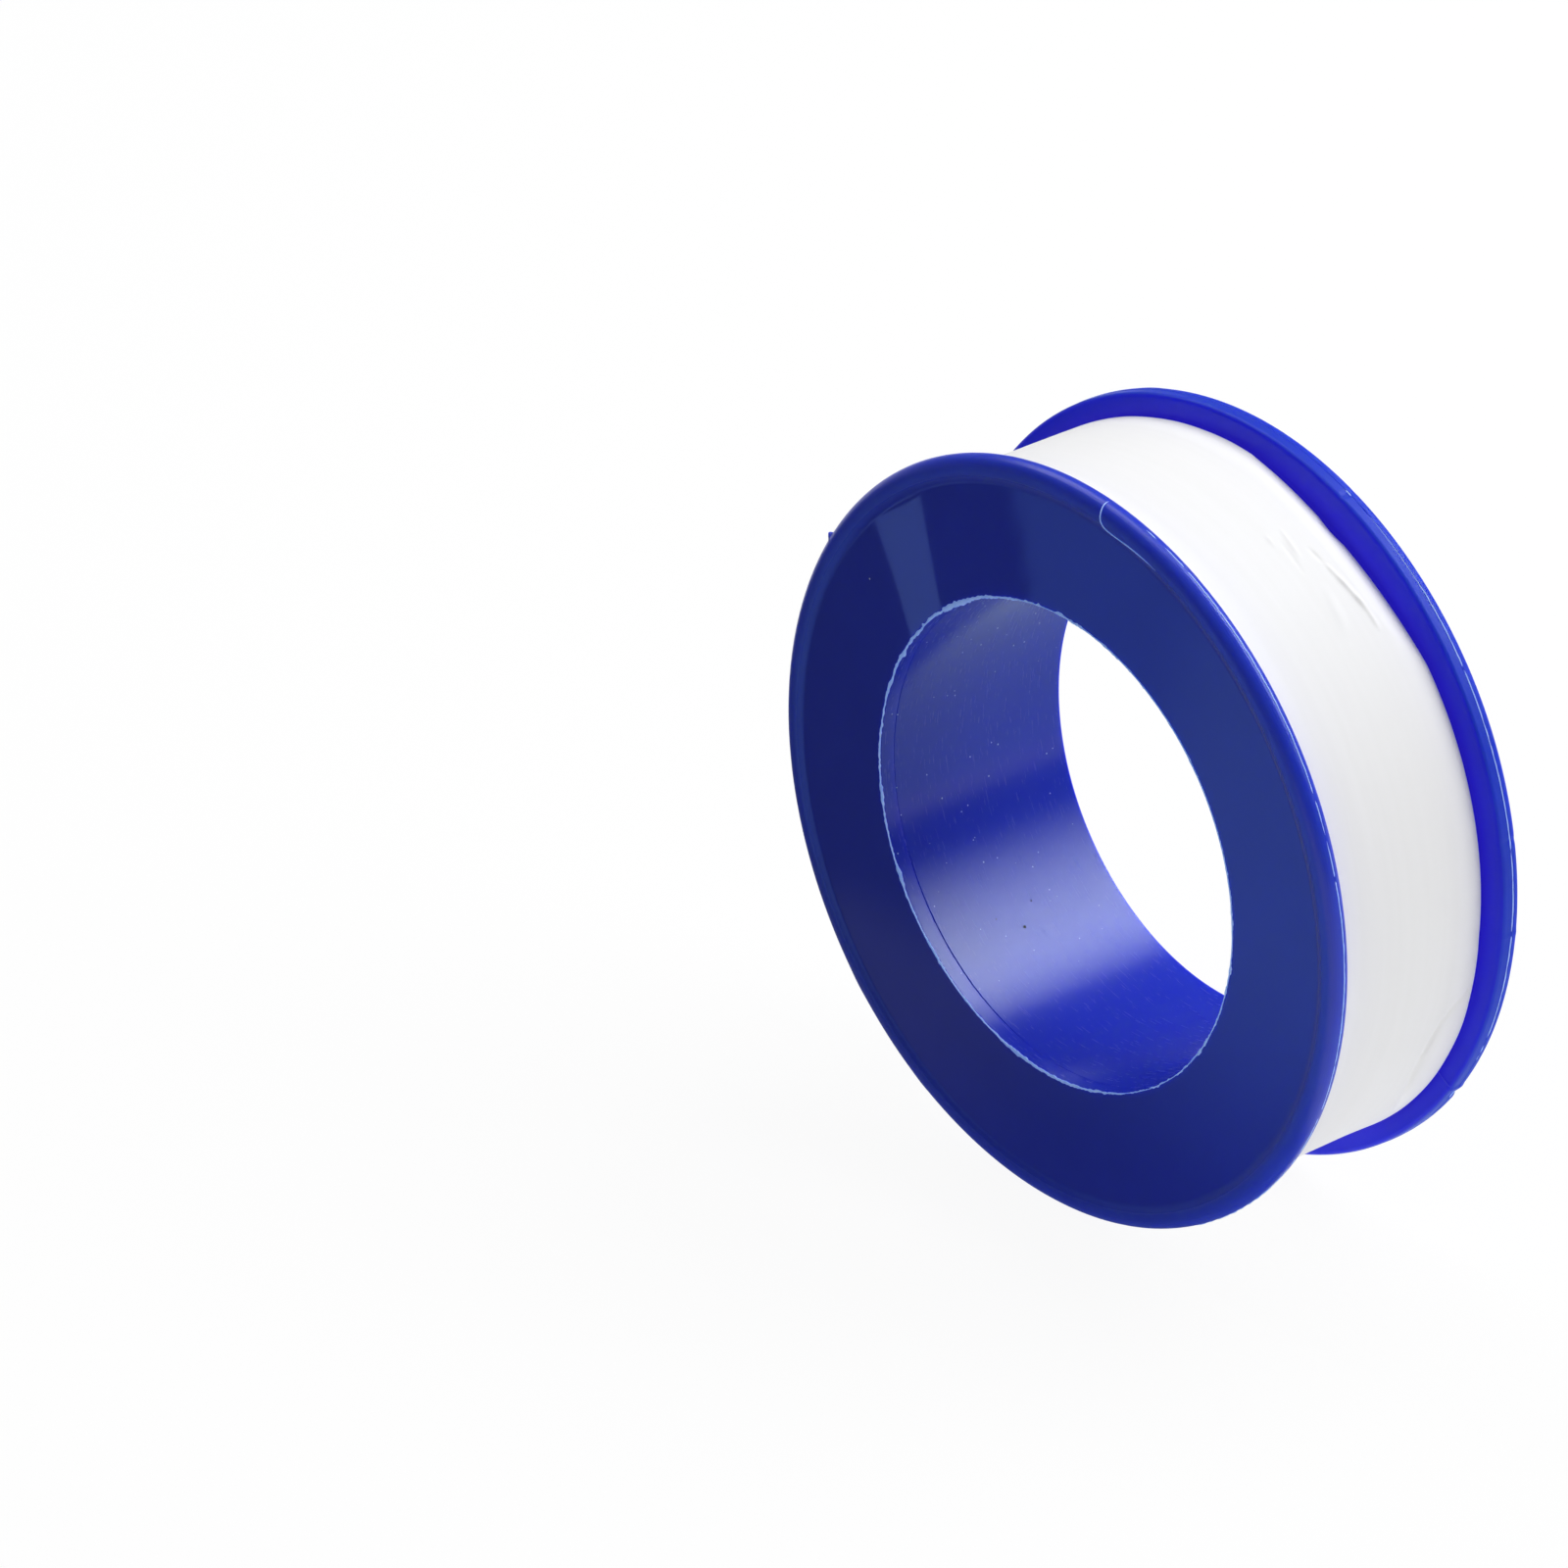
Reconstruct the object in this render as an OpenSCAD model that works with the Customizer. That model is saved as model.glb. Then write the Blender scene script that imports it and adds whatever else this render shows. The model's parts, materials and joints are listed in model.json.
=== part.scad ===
// Thread seal tape roll: a two-piece plastic spool with a strip of film wound on it.
// The spool's axis is Y. The plain flange is at -Y and the marked flange at +Y.
// The origin is the centre of the bore, and +Z is up when the roll stands on its rims.

/* [Spool] */
// Outside diameter of both flanges
flange_d = 50; // [44:0.5:60]
// Diameter of the bore through the hub
bore_d = 32; // [24:0.5:36]
// Wall thickness of the hub tube
hub_wall = 0.95; // [0.8:0.05:1.4]
// Thickness of the plain flange between its bead and the bore
web_t = 1.2; // [0.8:0.05:1.5]
// Chamfer at both mouths of the bore
mouth_chamfer = 0.15; // [0.1:0.05:0.3]

/* [Rim bead] */
// Height of the bead above the plain flange's outer face
bead_h = 0.25; // [0.2:0.05:0.7]
// Height of the bead above the marked flange's outer face
marked_bead_h = 0.15; // [0.05:0.05:0.5]
// Width of the bead's flat crest
crest_w = 0.5; // [0.3:0.05:1.5]
// Width of the slope between the crest and the flange's outer face
bead_slope = 0.4; // [0.2:0.05:1]
// Radius of the rim's outer corner
rim_round = 0.4; // [0.2:0.05:0.6]
// Radius of the rim's corner beside the tape
rim_edge = 0.12; // [0.05:0.01:0.2]

/* [Weld joint] */
// Thickness of the tongue on the hub's open end
tongue_t = 0.35; // [0.25:0.05:0.5]
// Length of the tongue
tongue_h = 0.4; // [0.2:0.05:0.6]
// Clearance between the tongue and the walls of its groove
weld_gap = 0.03; // [0.02:0.01:0.06]

/* [Tape] */
// Width of the tape
tape_w = 12; // [8:0.5:25]
// Thickness of the film
film_t = 0.075; // [0.05:0.005:0.2]
// Gap between each edge of the tape and the flange beside it
side_gap = 0.4; // [0.3:0.05:1]
// How far the rims stand above the outermost turn
rim_proud = 1.5; // [1.2:0.05:5]
// Clearance between the hub and the first layer, and under the outermost turn
lay_gap = 0.03; // [0.02:0.005:0.05]
// How far the outermost turn strays sideways between the flanges
stray = 0.15; // [0:0.05:0.25]

/* [Loose end] */
// Angle from +X towards +Z at which the loose end leaves the roll
peel_angle = 150; // [130:1:165]
// Length of the loose end
end_len = 22; // [12:0.5:24]
// Gap between the outermost turn and the loose end at the peel line
peel_gap = 0.1; // [0.05:0.05:0.3]
// How far the loose end's tip curls up off the roll
tip_curl = 0.45; // [0:0.05:0.8]
// Length of film at the tip that curls up
curl_len = 6.5; // [3:0.5:10]
// Length left bare between the loose end's tip and the inner end of its turn
tip_gap = 2; // [1:0.1:5]

/* [Hidden] */
$fn = 180;

flange_r = flange_d / 2;
bore_r = bore_d / 2;
hub_r = bore_r + hub_wall;
rim_t = web_t + bead_h;
bead_w = rim_round + crest_w + bead_slope;
flange_gap = tape_w + 2 * side_gap;
face_y = flange_gap / 2;
arc_steps = 6;

tongue_r0 = (bore_r + hub_r - tongue_t) / 2;
tongue_r1 = tongue_r0 + tongue_t;
groove_h = tongue_h + weld_gap;

full_turn = 360;
tape_r = flange_r - rim_proud;
core_r = tape_r - 2 * film_t - lay_gap;
tip_angle = peel_angle + turn_for(end_len);
turn_start = tip_angle + turn_for(tip_gap) - full_turn;
curl_angle = tip_angle - turn_for(curl_len);
root_angle = peel_angle + turn_for(peel_gap);
ring_step = 3;

// Angle that a length of film covers on the outside of the winding
function turn_for(length) = length / (2 * PI * tape_r) * full_turn;

// Points along an arc of radius r about (cx, cy), from angle a0 to a1
function arc(cx, cy, r, a0, a1) =
    [for (i = [0:arc_steps]) let (a = a0 + (a1 - a0) * i / arc_steps) [cx + r * cos(a), cy + r * sin(a)]];

// Outline of a flange from its inner face at radius r0, round the rim to the bore's mouth. Its outer face
// lies a step below the bead. x is the radius, y the distance outwards from the flange's inner face
function flange_outline(r0, step) = concat(
    [[r0, 0]],
    arc(flange_r - rim_edge, rim_edge, rim_edge, -90, 0),
    arc(flange_r - rim_round, rim_t - rim_round, rim_round, 0, 90),
    [
        [flange_r - rim_round - crest_w, rim_t],
        [flange_r - bead_w, rim_t - step],
        [bore_r + mouth_chamfer, rim_t - step],
        [bore_r, rim_t - step - mouth_chamfer]
    ]
);

// A solid of revolution about Y from an outline of [radius, distance along +Y]
module turned(outline) {
    rotate([-90, 0, 0]) rotate_extrude() polygon(outline);
}

// Inner radius of the outermost turn at an angle: it climbs by one film thickness in a full turn
function lay_r(a) = core_r + lay_gap + film_t * (a - turn_start) / full_turn;

// Sideways place of the outermost turn's middle at an angle
function lay_y(a) = stray * sin(1.5 * (a - turn_start));

// Extra radius of the loose end near its tip
function curl(a) = tip_curl * pow(max(0, (a - curl_angle) / (tip_angle - curl_angle)), 2);

// A point at an angle, a radius and a place along Y
function at(a, r, y) = [r * cos(a), y, r * sin(a)];

// A strip of film along the winding's spiral between two angles, as one closed mesh:
// every ring holds the film's four corners, from the inner face to the outer one
module film_strip(a0, a1, curled) {
    rings = ceil((a1 - a0) / ring_step);
    angles = [for (i = [0:rings]) a0 + (a1 - a0) * i / rings];
    corners = [for (a = angles, c = [[0, -1], [1, -1], [1, 1], [0, 1]])
        at(a, lay_r(a) + (curled ? curl(a) : 0) + c[0] * film_t, lay_y(a) + c[1] * tape_w / 2)];
    sides = [for (i = [0:rings - 1], k = [0:3]) let (n = (k + 1) % 4, p = 4 * i)
        [[p + k, p + n, p + 4 + n], [p + k, p + 4 + n, p + 4 + k]]];
    last = 4 * rings;
    ends = [[0, 2, 1], [0, 3, 2], [last, last + 1, last + 2], [last, last + 2, last + 3]];
    polyhedron(corners, concat([for (pair = sides, f = pair) f], ends));
}

// The marked flange and the hub tube, with the tongue on its open end
module spool_body() {
    flange = [for (p = flange_outline(hub_r, marked_bead_h)) [p[0], face_y + p[1]]];
    hub_end = [
        [bore_r, -face_y],
        [tongue_r0, -face_y],
        [tongue_r0, -face_y - tongue_h],
        [tongue_r1, -face_y - tongue_h],
        [tongue_r1, -face_y],
        [hub_r, -face_y]
    ];
    color([0.06, 0.1, 0.48]) turned(concat(hub_end, flange));
}

// The separate flange ring, with the groove that takes the hub's tongue
module plain_flange() {
    groove = [
        [bore_r, 0],
        [tongue_r0 - weld_gap, 0],
        [tongue_r0 - weld_gap, groove_h],
        [tongue_r1 + weld_gap, groove_h]
    ];
    ring = concat(groove, flange_outline(tongue_r1 + weld_gap, bead_h));
    color([0.05, 0.08, 0.44]) turned([for (p = ring) [p[0], -face_y - p[1]]]);
}

// The wound layers under the outermost turn
module tape_winding() {
    color([0.93, 0.93, 0.92]) turned([
        [hub_r + lay_gap, -tape_w / 2],
        [core_r, -tape_w / 2],
        [core_r, tape_w / 2],
        [hub_r + lay_gap, tape_w / 2]
    ]);
}

// The outermost turn, up to the line where the loose end leaves the roll
module tape_outer_turn() {
    color([0.96, 0.96, 0.96]) film_strip(turn_start, peel_angle, false);
}

// The loose end, lying on the roll with its tip curled up a little
module tape_free_end() {
    color([0.98, 0.98, 0.98]) film_strip(root_angle, tip_angle, true);
}

// Least gap of the outermost turn to itself, from the loose end's tip to the turn's inner end
tip = at(tip_angle, lay_r(tip_angle) + curl(tip_angle), lay_y(tip_angle));
inner_end = at(turn_start, lay_r(turn_start) + film_t, lay_y(turn_start));
echo(least_gap = norm(tip - inner_end));
// Where the loose end's hinge lies: on the film's outer face at the peel line
echo(peel_line = at(peel_angle, lay_r(peel_angle) + film_t, 0));

spool_body();
plain_flange();
tape_winding();
tape_outer_turn();
tape_free_end();
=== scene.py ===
import json
import math

import bpy
import numpy as np
from mathutils import Matrix, Quaternion, Vector


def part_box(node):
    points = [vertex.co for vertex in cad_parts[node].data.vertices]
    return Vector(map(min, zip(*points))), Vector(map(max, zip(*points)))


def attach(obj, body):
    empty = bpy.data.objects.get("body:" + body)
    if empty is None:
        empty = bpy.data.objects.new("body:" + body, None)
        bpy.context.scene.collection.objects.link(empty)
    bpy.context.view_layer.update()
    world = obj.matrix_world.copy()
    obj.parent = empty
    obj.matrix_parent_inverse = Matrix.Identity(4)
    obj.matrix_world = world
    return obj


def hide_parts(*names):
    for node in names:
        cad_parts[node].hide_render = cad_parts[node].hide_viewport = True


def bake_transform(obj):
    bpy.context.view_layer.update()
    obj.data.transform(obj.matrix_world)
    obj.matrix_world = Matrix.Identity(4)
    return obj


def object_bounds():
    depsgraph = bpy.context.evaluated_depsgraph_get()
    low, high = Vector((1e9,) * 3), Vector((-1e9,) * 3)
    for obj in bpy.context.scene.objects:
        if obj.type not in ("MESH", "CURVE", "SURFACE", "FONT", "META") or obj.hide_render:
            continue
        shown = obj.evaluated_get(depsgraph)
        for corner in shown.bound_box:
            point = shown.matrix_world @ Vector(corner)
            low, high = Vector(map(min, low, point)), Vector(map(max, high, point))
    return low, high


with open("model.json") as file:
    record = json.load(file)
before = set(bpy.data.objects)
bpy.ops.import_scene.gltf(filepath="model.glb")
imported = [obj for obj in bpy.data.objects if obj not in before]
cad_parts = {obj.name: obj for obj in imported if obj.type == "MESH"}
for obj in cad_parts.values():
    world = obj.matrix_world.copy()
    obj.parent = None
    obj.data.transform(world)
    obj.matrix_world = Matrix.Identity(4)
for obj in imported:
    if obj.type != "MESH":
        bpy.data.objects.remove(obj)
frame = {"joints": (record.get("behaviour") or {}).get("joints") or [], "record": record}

# A roll of thread seal tape: a blue spool moulded in two parts, wound with white film 12 mm wide.
# The spool's axis is Y, with the plain flange at -Y and the marked flange at +Y. Lengths are in metres.
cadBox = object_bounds()
mm = 0.001
rng = np.random.default_rng(12)

boreMount = next(m for m in frame["record"]["mounts"] if m["name"] == "bore")
peelJoint = next(j for j in frame["joints"] if j["name"] == "tape_end_peel")
spoolLow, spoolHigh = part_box("spool_body")
coreLow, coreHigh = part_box("tape_winding")

# Both flanges share these sizes, and the hub's tongue sits in the plain flange's groove
spool = {
    "rimRadius": spoolHigh.z,
    "boreRadius": boreMount["dims"]["r_mm"] * mm,
    "crestY": spoolHigh.y,
    "hubWall": 0.95 * mm,
    "rimThickness": 1.45 * mm,
    "seam": 0.03 * mm,
    "tongueThickness": 0.35 * mm,
    "tongueLength": 0.4 * mm,
    "weldGap": 0.03 * mm,
    "turnSteps": 600,
    "outlineStep": 0.72 * mm,
    "support": 0.04 * mm,
    "rimZone": 0.7 * mm,
    "rimBlend": 0.5 * mm,
}
spool["faceY"] = spool["crestY"] - spool["rimThickness"]
spool["hubRadius"] = spool["boreRadius"] + spool["hubWall"]
spool["tongueInner"] = (spool["boreRadius"] + spool["hubRadius"] - spool["tongueThickness"]) / 2
spool["tongueOuter"] = spool["tongueInner"] + spool["tongueThickness"]


# Helpers for meshes

def smooth(t):
    # 0 below 0, 1 above 1, and 3t^2 - 2t^3 between
    t = np.clip(t, 0, 1)
    return t * t * (3 - 2 * t)


def turnedBy(deg, centre):
    # Signed angle in degrees from centre to deg, from -180 to 180
    return (deg - centre + 180) % 360 - 180


def gridFaces(rows, columns, closedRows, closedColumns):
    # Four-cornered faces of a grid whose points are numbered row by row
    i = np.arange(rows if closedRows else rows - 1)[:, None]
    k = np.arange(columns if closedColumns else columns - 1)[None, :]
    iNext, kNext = (i + 1) % rows, (k + 1) % columns
    corners = (i * columns + k, i * columns + kNext, iNext * columns + kNext, iNext * columns + k)
    return np.stack(corners, axis=-1).reshape(-1, 4)


def facingOut(points, faces):
    # Turns every face round if the closed surface has a negative volume
    a, b, c, d = (points[faces[:, n]] for n in range(4))
    volume = np.sum(np.cross(a, b) * c + np.cross(a, c) * d)
    return faces if volume > 0 else faces[:, ::-1]


def newPiece(name, points, faces, materials, zones=None, uv=None, sharpDeg=50):
    # A smooth-shaded mesh object at the origin. faces is an array of quads or a list of any faces, zones
    # gives each face's material and uv each point's place. No edge is sharp where sharpDeg is None
    mesh = bpy.data.meshes.new(name)
    mesh.from_pydata(points.tolist(), [], faces if isinstance(faces, list) else faces.tolist())
    for material in materials:
        mesh.materials.append(material)
    if zones is not None:
        mesh.polygons.foreach_set("material_index", zones.astype(np.int32))
    if uv is not None:
        layer = mesh.uv_layers.new(name="along")
        layer.data.foreach_set("uv", uv[faces.ravel()].astype(np.float32).ravel())
    mesh.polygons.foreach_set("use_smooth", np.ones(len(faces), bool))
    if sharpDeg is not None:
        mesh.set_sharp_from_angle(angle=math.radians(sharpDeg))
    mesh.update()
    piece = bpy.data.objects.new(name, mesh)
    bpy.context.scene.collection.objects.link(piece)
    print(name, len(points), "points", len(mesh.loops) - 2 * len(mesh.polygons), "triangles")
    return piece


def arcOf(cx, cy, radius, startDeg, endDeg):
    # Nine points (cx + radius cos a, cy + radius sin a) with a between two angles
    a = np.radians(np.linspace(startDeg, endDeg, 9))
    return np.column_stack((cx + radius * np.cos(a), cy + radius * np.sin(a)))


def refined(corners, step, support):
    # Points along a closed outline: each long side gets a point near both its ends and equal steps between
    out = []
    for start, end in zip(corners, np.roll(corners, -1, axis=0)):
        length = np.hypot(*(end - start))
        marks = np.zeros(1)
        if length > 3 * support:
            count = max(2, math.ceil((length - 2 * support) / step) + 1)
            marks = np.concatenate((marks, np.linspace(support, length - support, count) / length))
        out.append(start + marks[:, None] * (end - start))
    return np.vstack(out)


def onTurn(r, y, turn):
    # Points (r cos turn, y, r sin turn), from arrays of radii, places along Y and angles in radians
    return np.stack((r * np.cos(turn), y, r * np.sin(turn)), axis=-1)


def softNoise(noise, width, share):
    # Noise round a closed ring, each value mixed with its neighbours by a bell of the given width
    count = len(noise)
    return np.convolve(np.tile(noise, 3), np.hanning(width) / share, "same")[count:2 * count]


def turnAngles(steps, details):
    # Even steps round the axis, with finer ones where a detail of a given half width lies, in degrees
    parts = [np.arange(steps) * 360 / steps]
    for centre, half in details:
        parts.append((centre + half * np.linspace(-2, 2, 21)) % 360)
    return np.unique(np.round(np.concatenate(parts), 2))


def revolved(outline, deg, shift):
    # Surface of revolution about Y: point (a, k) is (r cos a, y, r sin a), where r and y are those of the
    # outline's point k after shift(deg, r, y) has moved them
    a, k = np.meshgrid(deg, np.arange(len(outline)), indexing="ij")
    r, y = shift(a, outline[k, 0], outline[k, 1])
    points = onTurn(r, y, np.radians(a)).reshape(-1, 3)
    faces = facingOut(points, gridFaces(len(deg), len(outline), True, True))
    return points, faces


# Helpers for materials

def nodesOf(name):
    # A new material, its nodes and links, and its Principled BSDF
    material = bpy.data.materials.new(name)
    material.use_nodes = True
    tree = material.node_tree
    return material, tree.nodes, tree.links, tree.nodes["Principled BSDF"]


def newGroup(name, inputs, outputs):
    # A node group whose sockets are (name, kind), its nodes and links, and its two ends
    group = bpy.data.node_groups.new(name, "ShaderNodeTree")
    for label, kind in inputs:
        group.interface.new_socket(label, in_out="INPUT", socket_type=kind)
    for label, kind in outputs:
        group.interface.new_socket(label, in_out="OUTPUT", socket_type=kind)
    nodes = group.nodes
    return group, nodes, group.links, nodes.new("NodeGroupInput"), nodes.new("NodeGroupOutput")


def useGroup(nodes, group, **values):
    # Places a group in a material with its own values
    node = nodes.new("ShaderNodeGroup")
    node.node_tree = group
    for label, value in values.items():
        node.inputs[label].default_value = value
    return node


def objectPlace(nodes):
    return nodes.new("ShaderNodeTexCoord").outputs["Object"]


def splitPlace(nodes, links, place):
    # The outputs X, Y and Z of a place
    split = nodes.new("ShaderNodeSeparateXYZ")
    links.new(place, split.inputs["Vector"])
    return split.outputs


def mathOf(nodes, links, operation, *terms):
    # A Math node's result, from terms that are numbers or sockets
    node = nodes.new("ShaderNodeMath")
    node.operation = operation
    for socket, term in zip(node.inputs, terms):
        if isinstance(term, bpy.types.NodeSocket):
            links.new(term, socket)
        else:
            socket.default_value = term
    return node.outputs[0]


def stretchedNoise(nodes, links, place, stretch, detail):
    # Noise at scale 1 on a stretched place. stretch is a vector or a socket
    mapping = nodes.new("ShaderNodeMapping")
    noise = nodes.new("ShaderNodeTexNoise")
    noise.inputs["Scale"].default_value = 1
    noise.inputs["Detail"].default_value = detail
    links.new(place, mapping.inputs["Vector"])
    if isinstance(stretch, bpy.types.NodeSocket):
        links.new(stretch, mapping.inputs["Scale"])
    else:
        mapping.inputs["Scale"].default_value = stretch
    links.new(mapping.outputs["Vector"], noise.inputs["Vector"])
    return noise.outputs["Fac"]


def mapRange(nodes, links, source, low, high, toLow, toHigh):
    # low to high become toLow to toHigh, and values beyond them stay at the ends
    node = nodes.new("ShaderNodeMapRange")
    links.new(source, node.inputs["Value"])
    for label, value in (("From Min", low), ("From Max", high), ("To Min", toLow), ("To Max", toHigh)):
        node.inputs[label].default_value = value
    return node.outputs["Result"]


def mixColour(nodes, links, factor, first, second):
    # first where the factor is 0 and second where it is 1. Both are colours or colour sockets
    node = nodes.new("ShaderNodeMix")
    node.data_type = "RGBA"
    links.new(factor, node.inputs["Factor"])
    for label, value in (("A", first), ("B", second)):
        socket = next(s for s in node.inputs if s.name == label and s.type == "RGBA")
        if isinstance(value, bpy.types.NodeSocket):
            links.new(value, socket)
        else:
            socket.default_value = (*value, 1)
    return next(s for s in node.outputs if s.type == "RGBA")


def bumpFrom(nodes, links, height, distance, normal=None):
    # A bump of the given height in metres, over another bump's normal where one is given
    node = nodes.new("ShaderNodeBump")
    node.inputs["Distance"].default_value = distance
    links.new(height, node.inputs["Height"])
    if normal is not None:
        links.new(normal, node.inputs["Normal"])
    return node.outputs["Normal"]


def makeGrainGroup():
    # Fine moulded grain: two sizes of noise, as a height and as a slow shade
    group, nodes, links, source, target = newGroup(
        "mouldedGrain",
        [("FineScale", "NodeSocketFloat"), ("SlowScale", "NodeSocketFloat")],
        [("Height", "NodeSocketFloat"), ("Shade", "NodeSocketFloat")],
    )
    place = objectPlace(nodes)
    for label, output, detail in (("FineScale", "Height", 3), ("SlowScale", "Shade", 2)):
        noise = nodes.new("ShaderNodeTexNoise")
        noise.inputs["Detail"].default_value = detail
        links.new(place, noise.inputs["Vector"])
        links.new(source.outputs[label], noise.inputs["Scale"])
        links.new(noise.outputs["Fac"], target.inputs[output])
    return group


def makeTurnedGroup():
    # Fine rings round the axis: noise that changes fast along Y and slowly along X and Z
    group, nodes, links, source, target = newGroup(
        "turnedLines",
        [("Stretch", "NodeSocketVector")],
        [("Height", "NodeSocketFloat")],
    )
    height = stretchedNoise(nodes, links, objectPlace(nodes), source.outputs["Stretch"], 3)
    links.new(height, target.inputs["Height"])
    return group


def makeSpeckGroup():
    # Specks of dust: small discs at the centres of a few cells
    group, nodes, links, source, target = newGroup(
        "dustSpecks",
        [("Scale", "NodeSocketFloat"), ("Size", "NodeSocketFloat"), ("Share", "NodeSocketFloat")],
        [("Mask", "NodeSocketFloat")],
    )
    cells = nodes.new("ShaderNodeTexVoronoi")
    links.new(objectPlace(nodes), cells.inputs["Vector"])
    links.new(source.outputs["Scale"], cells.inputs["Scale"])
    near = mathOf(nodes, links, "LESS_THAN", cells.outputs["Distance"], source.outputs["Size"])
    split = nodes.new("ShaderNodeSeparateColor")
    links.new(cells.outputs["Color"], split.inputs["Color"])
    chosen = mathOf(nodes, links, "LESS_THAN", split.outputs["Red"], source.outputs["Share"])
    links.new(mathOf(nodes, links, "MULTIPLY", near, chosen), target.inputs["Mask"])
    return group


grainGroup = makeGrainGroup()
turnedGroup = makeTurnedGroup()
speckGroup = makeSpeckGroup()

# What every finish of the blue plastic starts from. lowFrom and lowTo are the heights between which the
# painted light low down comes in, and litFrom and litTo the radii between which the painted glow for the
# light that the film bounces fades
bluePlastic = {
    "colours": ((0.007, 0.024, 0.46), (0.01, 0.031, 0.54)),
    "shadeScale": 160.0,
    "dust": (0.4, 0.5, 0.85),
    "speckSize": 0.07,
    "pits": [],
    "pitRougher": 0.7,
    "lowFrom": -12.5 * mm,
    "lowTo": -15 * mm,
    "litFrom": 23.5 * mm,
    "litTo": 24.6 * mm,
    "ior": 1.49,
    "scatterWeight": 0.8,
    "scatterRadius": (0.06, 0.1, 1.0),
}


def nearPoint(nodes, links, point, reach):
    # 1 at a point of the object, falling to 0 at reach from it
    gap = nodes.new("ShaderNodeVectorMath")
    gap.operation = "DISTANCE"
    gap.inputs[1].default_value = point
    links.new(objectPlace(nodes), gap.inputs[0])
    return mapRange(nodes, links, gap.outputs["Value"], 0.6 * reach, reach, 1.0, 0.0)


def awayFromAxis(nodes, links, low, high):
    # 0 at a distance of low from the Y axis and 1 at high
    flat = nodes.new("ShaderNodeVectorMath")
    flat.operation = "MULTIPLY"
    flat.inputs[1].default_value = (1, 0, 1)
    links.new(objectPlace(nodes), flat.inputs[0])
    radius = nodes.new("ShaderNodeVectorMath")
    radius.operation = "LENGTH"
    links.new(flat.outputs["Vector"], radius.inputs[0])
    return mapRange(nodes, links, radius.outputs["Value"], low, high, 0.0, 1.0)


def makeBlue(name, ownFinish):
    # Blue plastic: its colour changes slowly, with dust, pits, a rim whose brighter blue is painted light,
    # painted light low down and a painted glow for the light that the film bounces, where the finish has
    # them, and its roughness and bump follow the grain or the turned lines
    material, nodes, links, shader = nodesOf(name)
    finish = {**bluePlastic, **ownFinish}
    grain = useGroup(nodes, grainGroup, FineScale=finish["grainScale"], SlowScale=finish["shadeScale"])
    size, share = finish["speckSize"], finish["speckShare"]
    specks = useGroup(nodes, speckGroup, Scale=finish["speckScale"], Size=size, Share=share)
    colour = mixColour(nodes, links, grain.outputs["Shade"], *finish["colours"])
    colour = mixColour(nodes, links, specks.outputs["Mask"], colour, finish["dust"])
    rougher = []
    for point, reach in finish["pits"]:
        mask = nearPoint(nodes, links, [c * mm for c in point], reach * mm)
        colour = mixColour(nodes, links, mask, colour, finish["pitColour"])
        rougher.append((mask, finish["pitRougher"]))
    # The rim is rougher, and its brighter blue is painted light for light through the thin rim
    if "rimColours" in finish:
        toRim = awayFromAxis(nodes, links, finish["rimFrom"], finish["rimTo"])
        rimColour = mixColour(nodes, links, grain.outputs["Shade"], *finish["rimColours"])
        colour = mixColour(nodes, links, toRim, colour, rimColour)
        rougher.append((toRim, finish["rimRougher"]))
    # Painted light: a brighter blue low down
    if "paintedLowLight" in finish:
        height = splitPlace(nodes, links, objectPlace(nodes))["Z"]
        below = mapRange(nodes, links, height, finish["lowFrom"], finish["lowTo"], 0.0, 1.0)
        colour = mixColour(nodes, links, below, colour, finish["paintedLowLight"])
    if "paintedFilmGlow" in finish:
        # Painted light: a glow beside the film's edge, for the light that the white film passes on to the
        # plastic
        away = awayFromAxis(nodes, links, finish["litFrom"], finish["litTo"])
        lit = mixColour(nodes, links, away, finish["paintedFilmGlow"], (0, 0, 0))
        links.new(lit, shader.inputs["Emission Color"])
        shader.inputs["Emission Strength"].default_value = 1.0
    links.new(colour, shader.inputs["Base Color"])
    finishNoise = grain.outputs["Height"]
    normal = bumpFrom(nodes, links, finishNoise, finish["relief"])
    if "turned" in finish:
        finishNoise = useGroup(nodes, turnedGroup, Stretch=finish["turned"]).outputs["Height"]
        normal = bumpFrom(nodes, links, finishNoise, finish["turnedRelief"], normal)
    roughness = mapRange(nodes, links, finishNoise, 0.3, 0.7, *finish["roughness"])
    for mask, more in rougher:
        roughness = mathOf(nodes, links, "MULTIPLY_ADD", mask, more, roughness)
    links.new(roughness, shader.inputs["Roughness"])
    links.new(normal, shader.inputs["Normal"])
    shader.inputs["IOR"].default_value = finish["ior"]
    shader.inputs["Specular IOR Level"].default_value = finish["specular"]
    shader.inputs["Subsurface Weight"].default_value = finish["scatterWeight"]
    shader.inputs["Subsurface Radius"].default_value = finish["scatterRadius"]
    shader.inputs["Subsurface Scale"].default_value = finish["scatter"]
    return material


# The finishes: each pit is (place, reach) in millimetres, and turned is how far the turned lines' noise is
# stretched along X, Y and Z
# rimColours are brighter than the plain blue: painted light for light that passes through the thin rims
rimColours = ((0.013, 0.042, 0.52), (0.017, 0.054, 0.62))
glossBlue = makeBlue("glossBlue", {
    "roughness": (0.02, 0.03), "grainScale": 900.0, "relief": 0.00008 * mm, "specular": 0.5,
    "speckScale": 700.0, "speckShare": 0.008, "scatter": 1.0 * mm,
    "rimFrom": 23.2 * mm, "rimTo": 23.9 * mm, "rimColours": rimColours, "rimRougher": 0.3,
})
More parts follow.
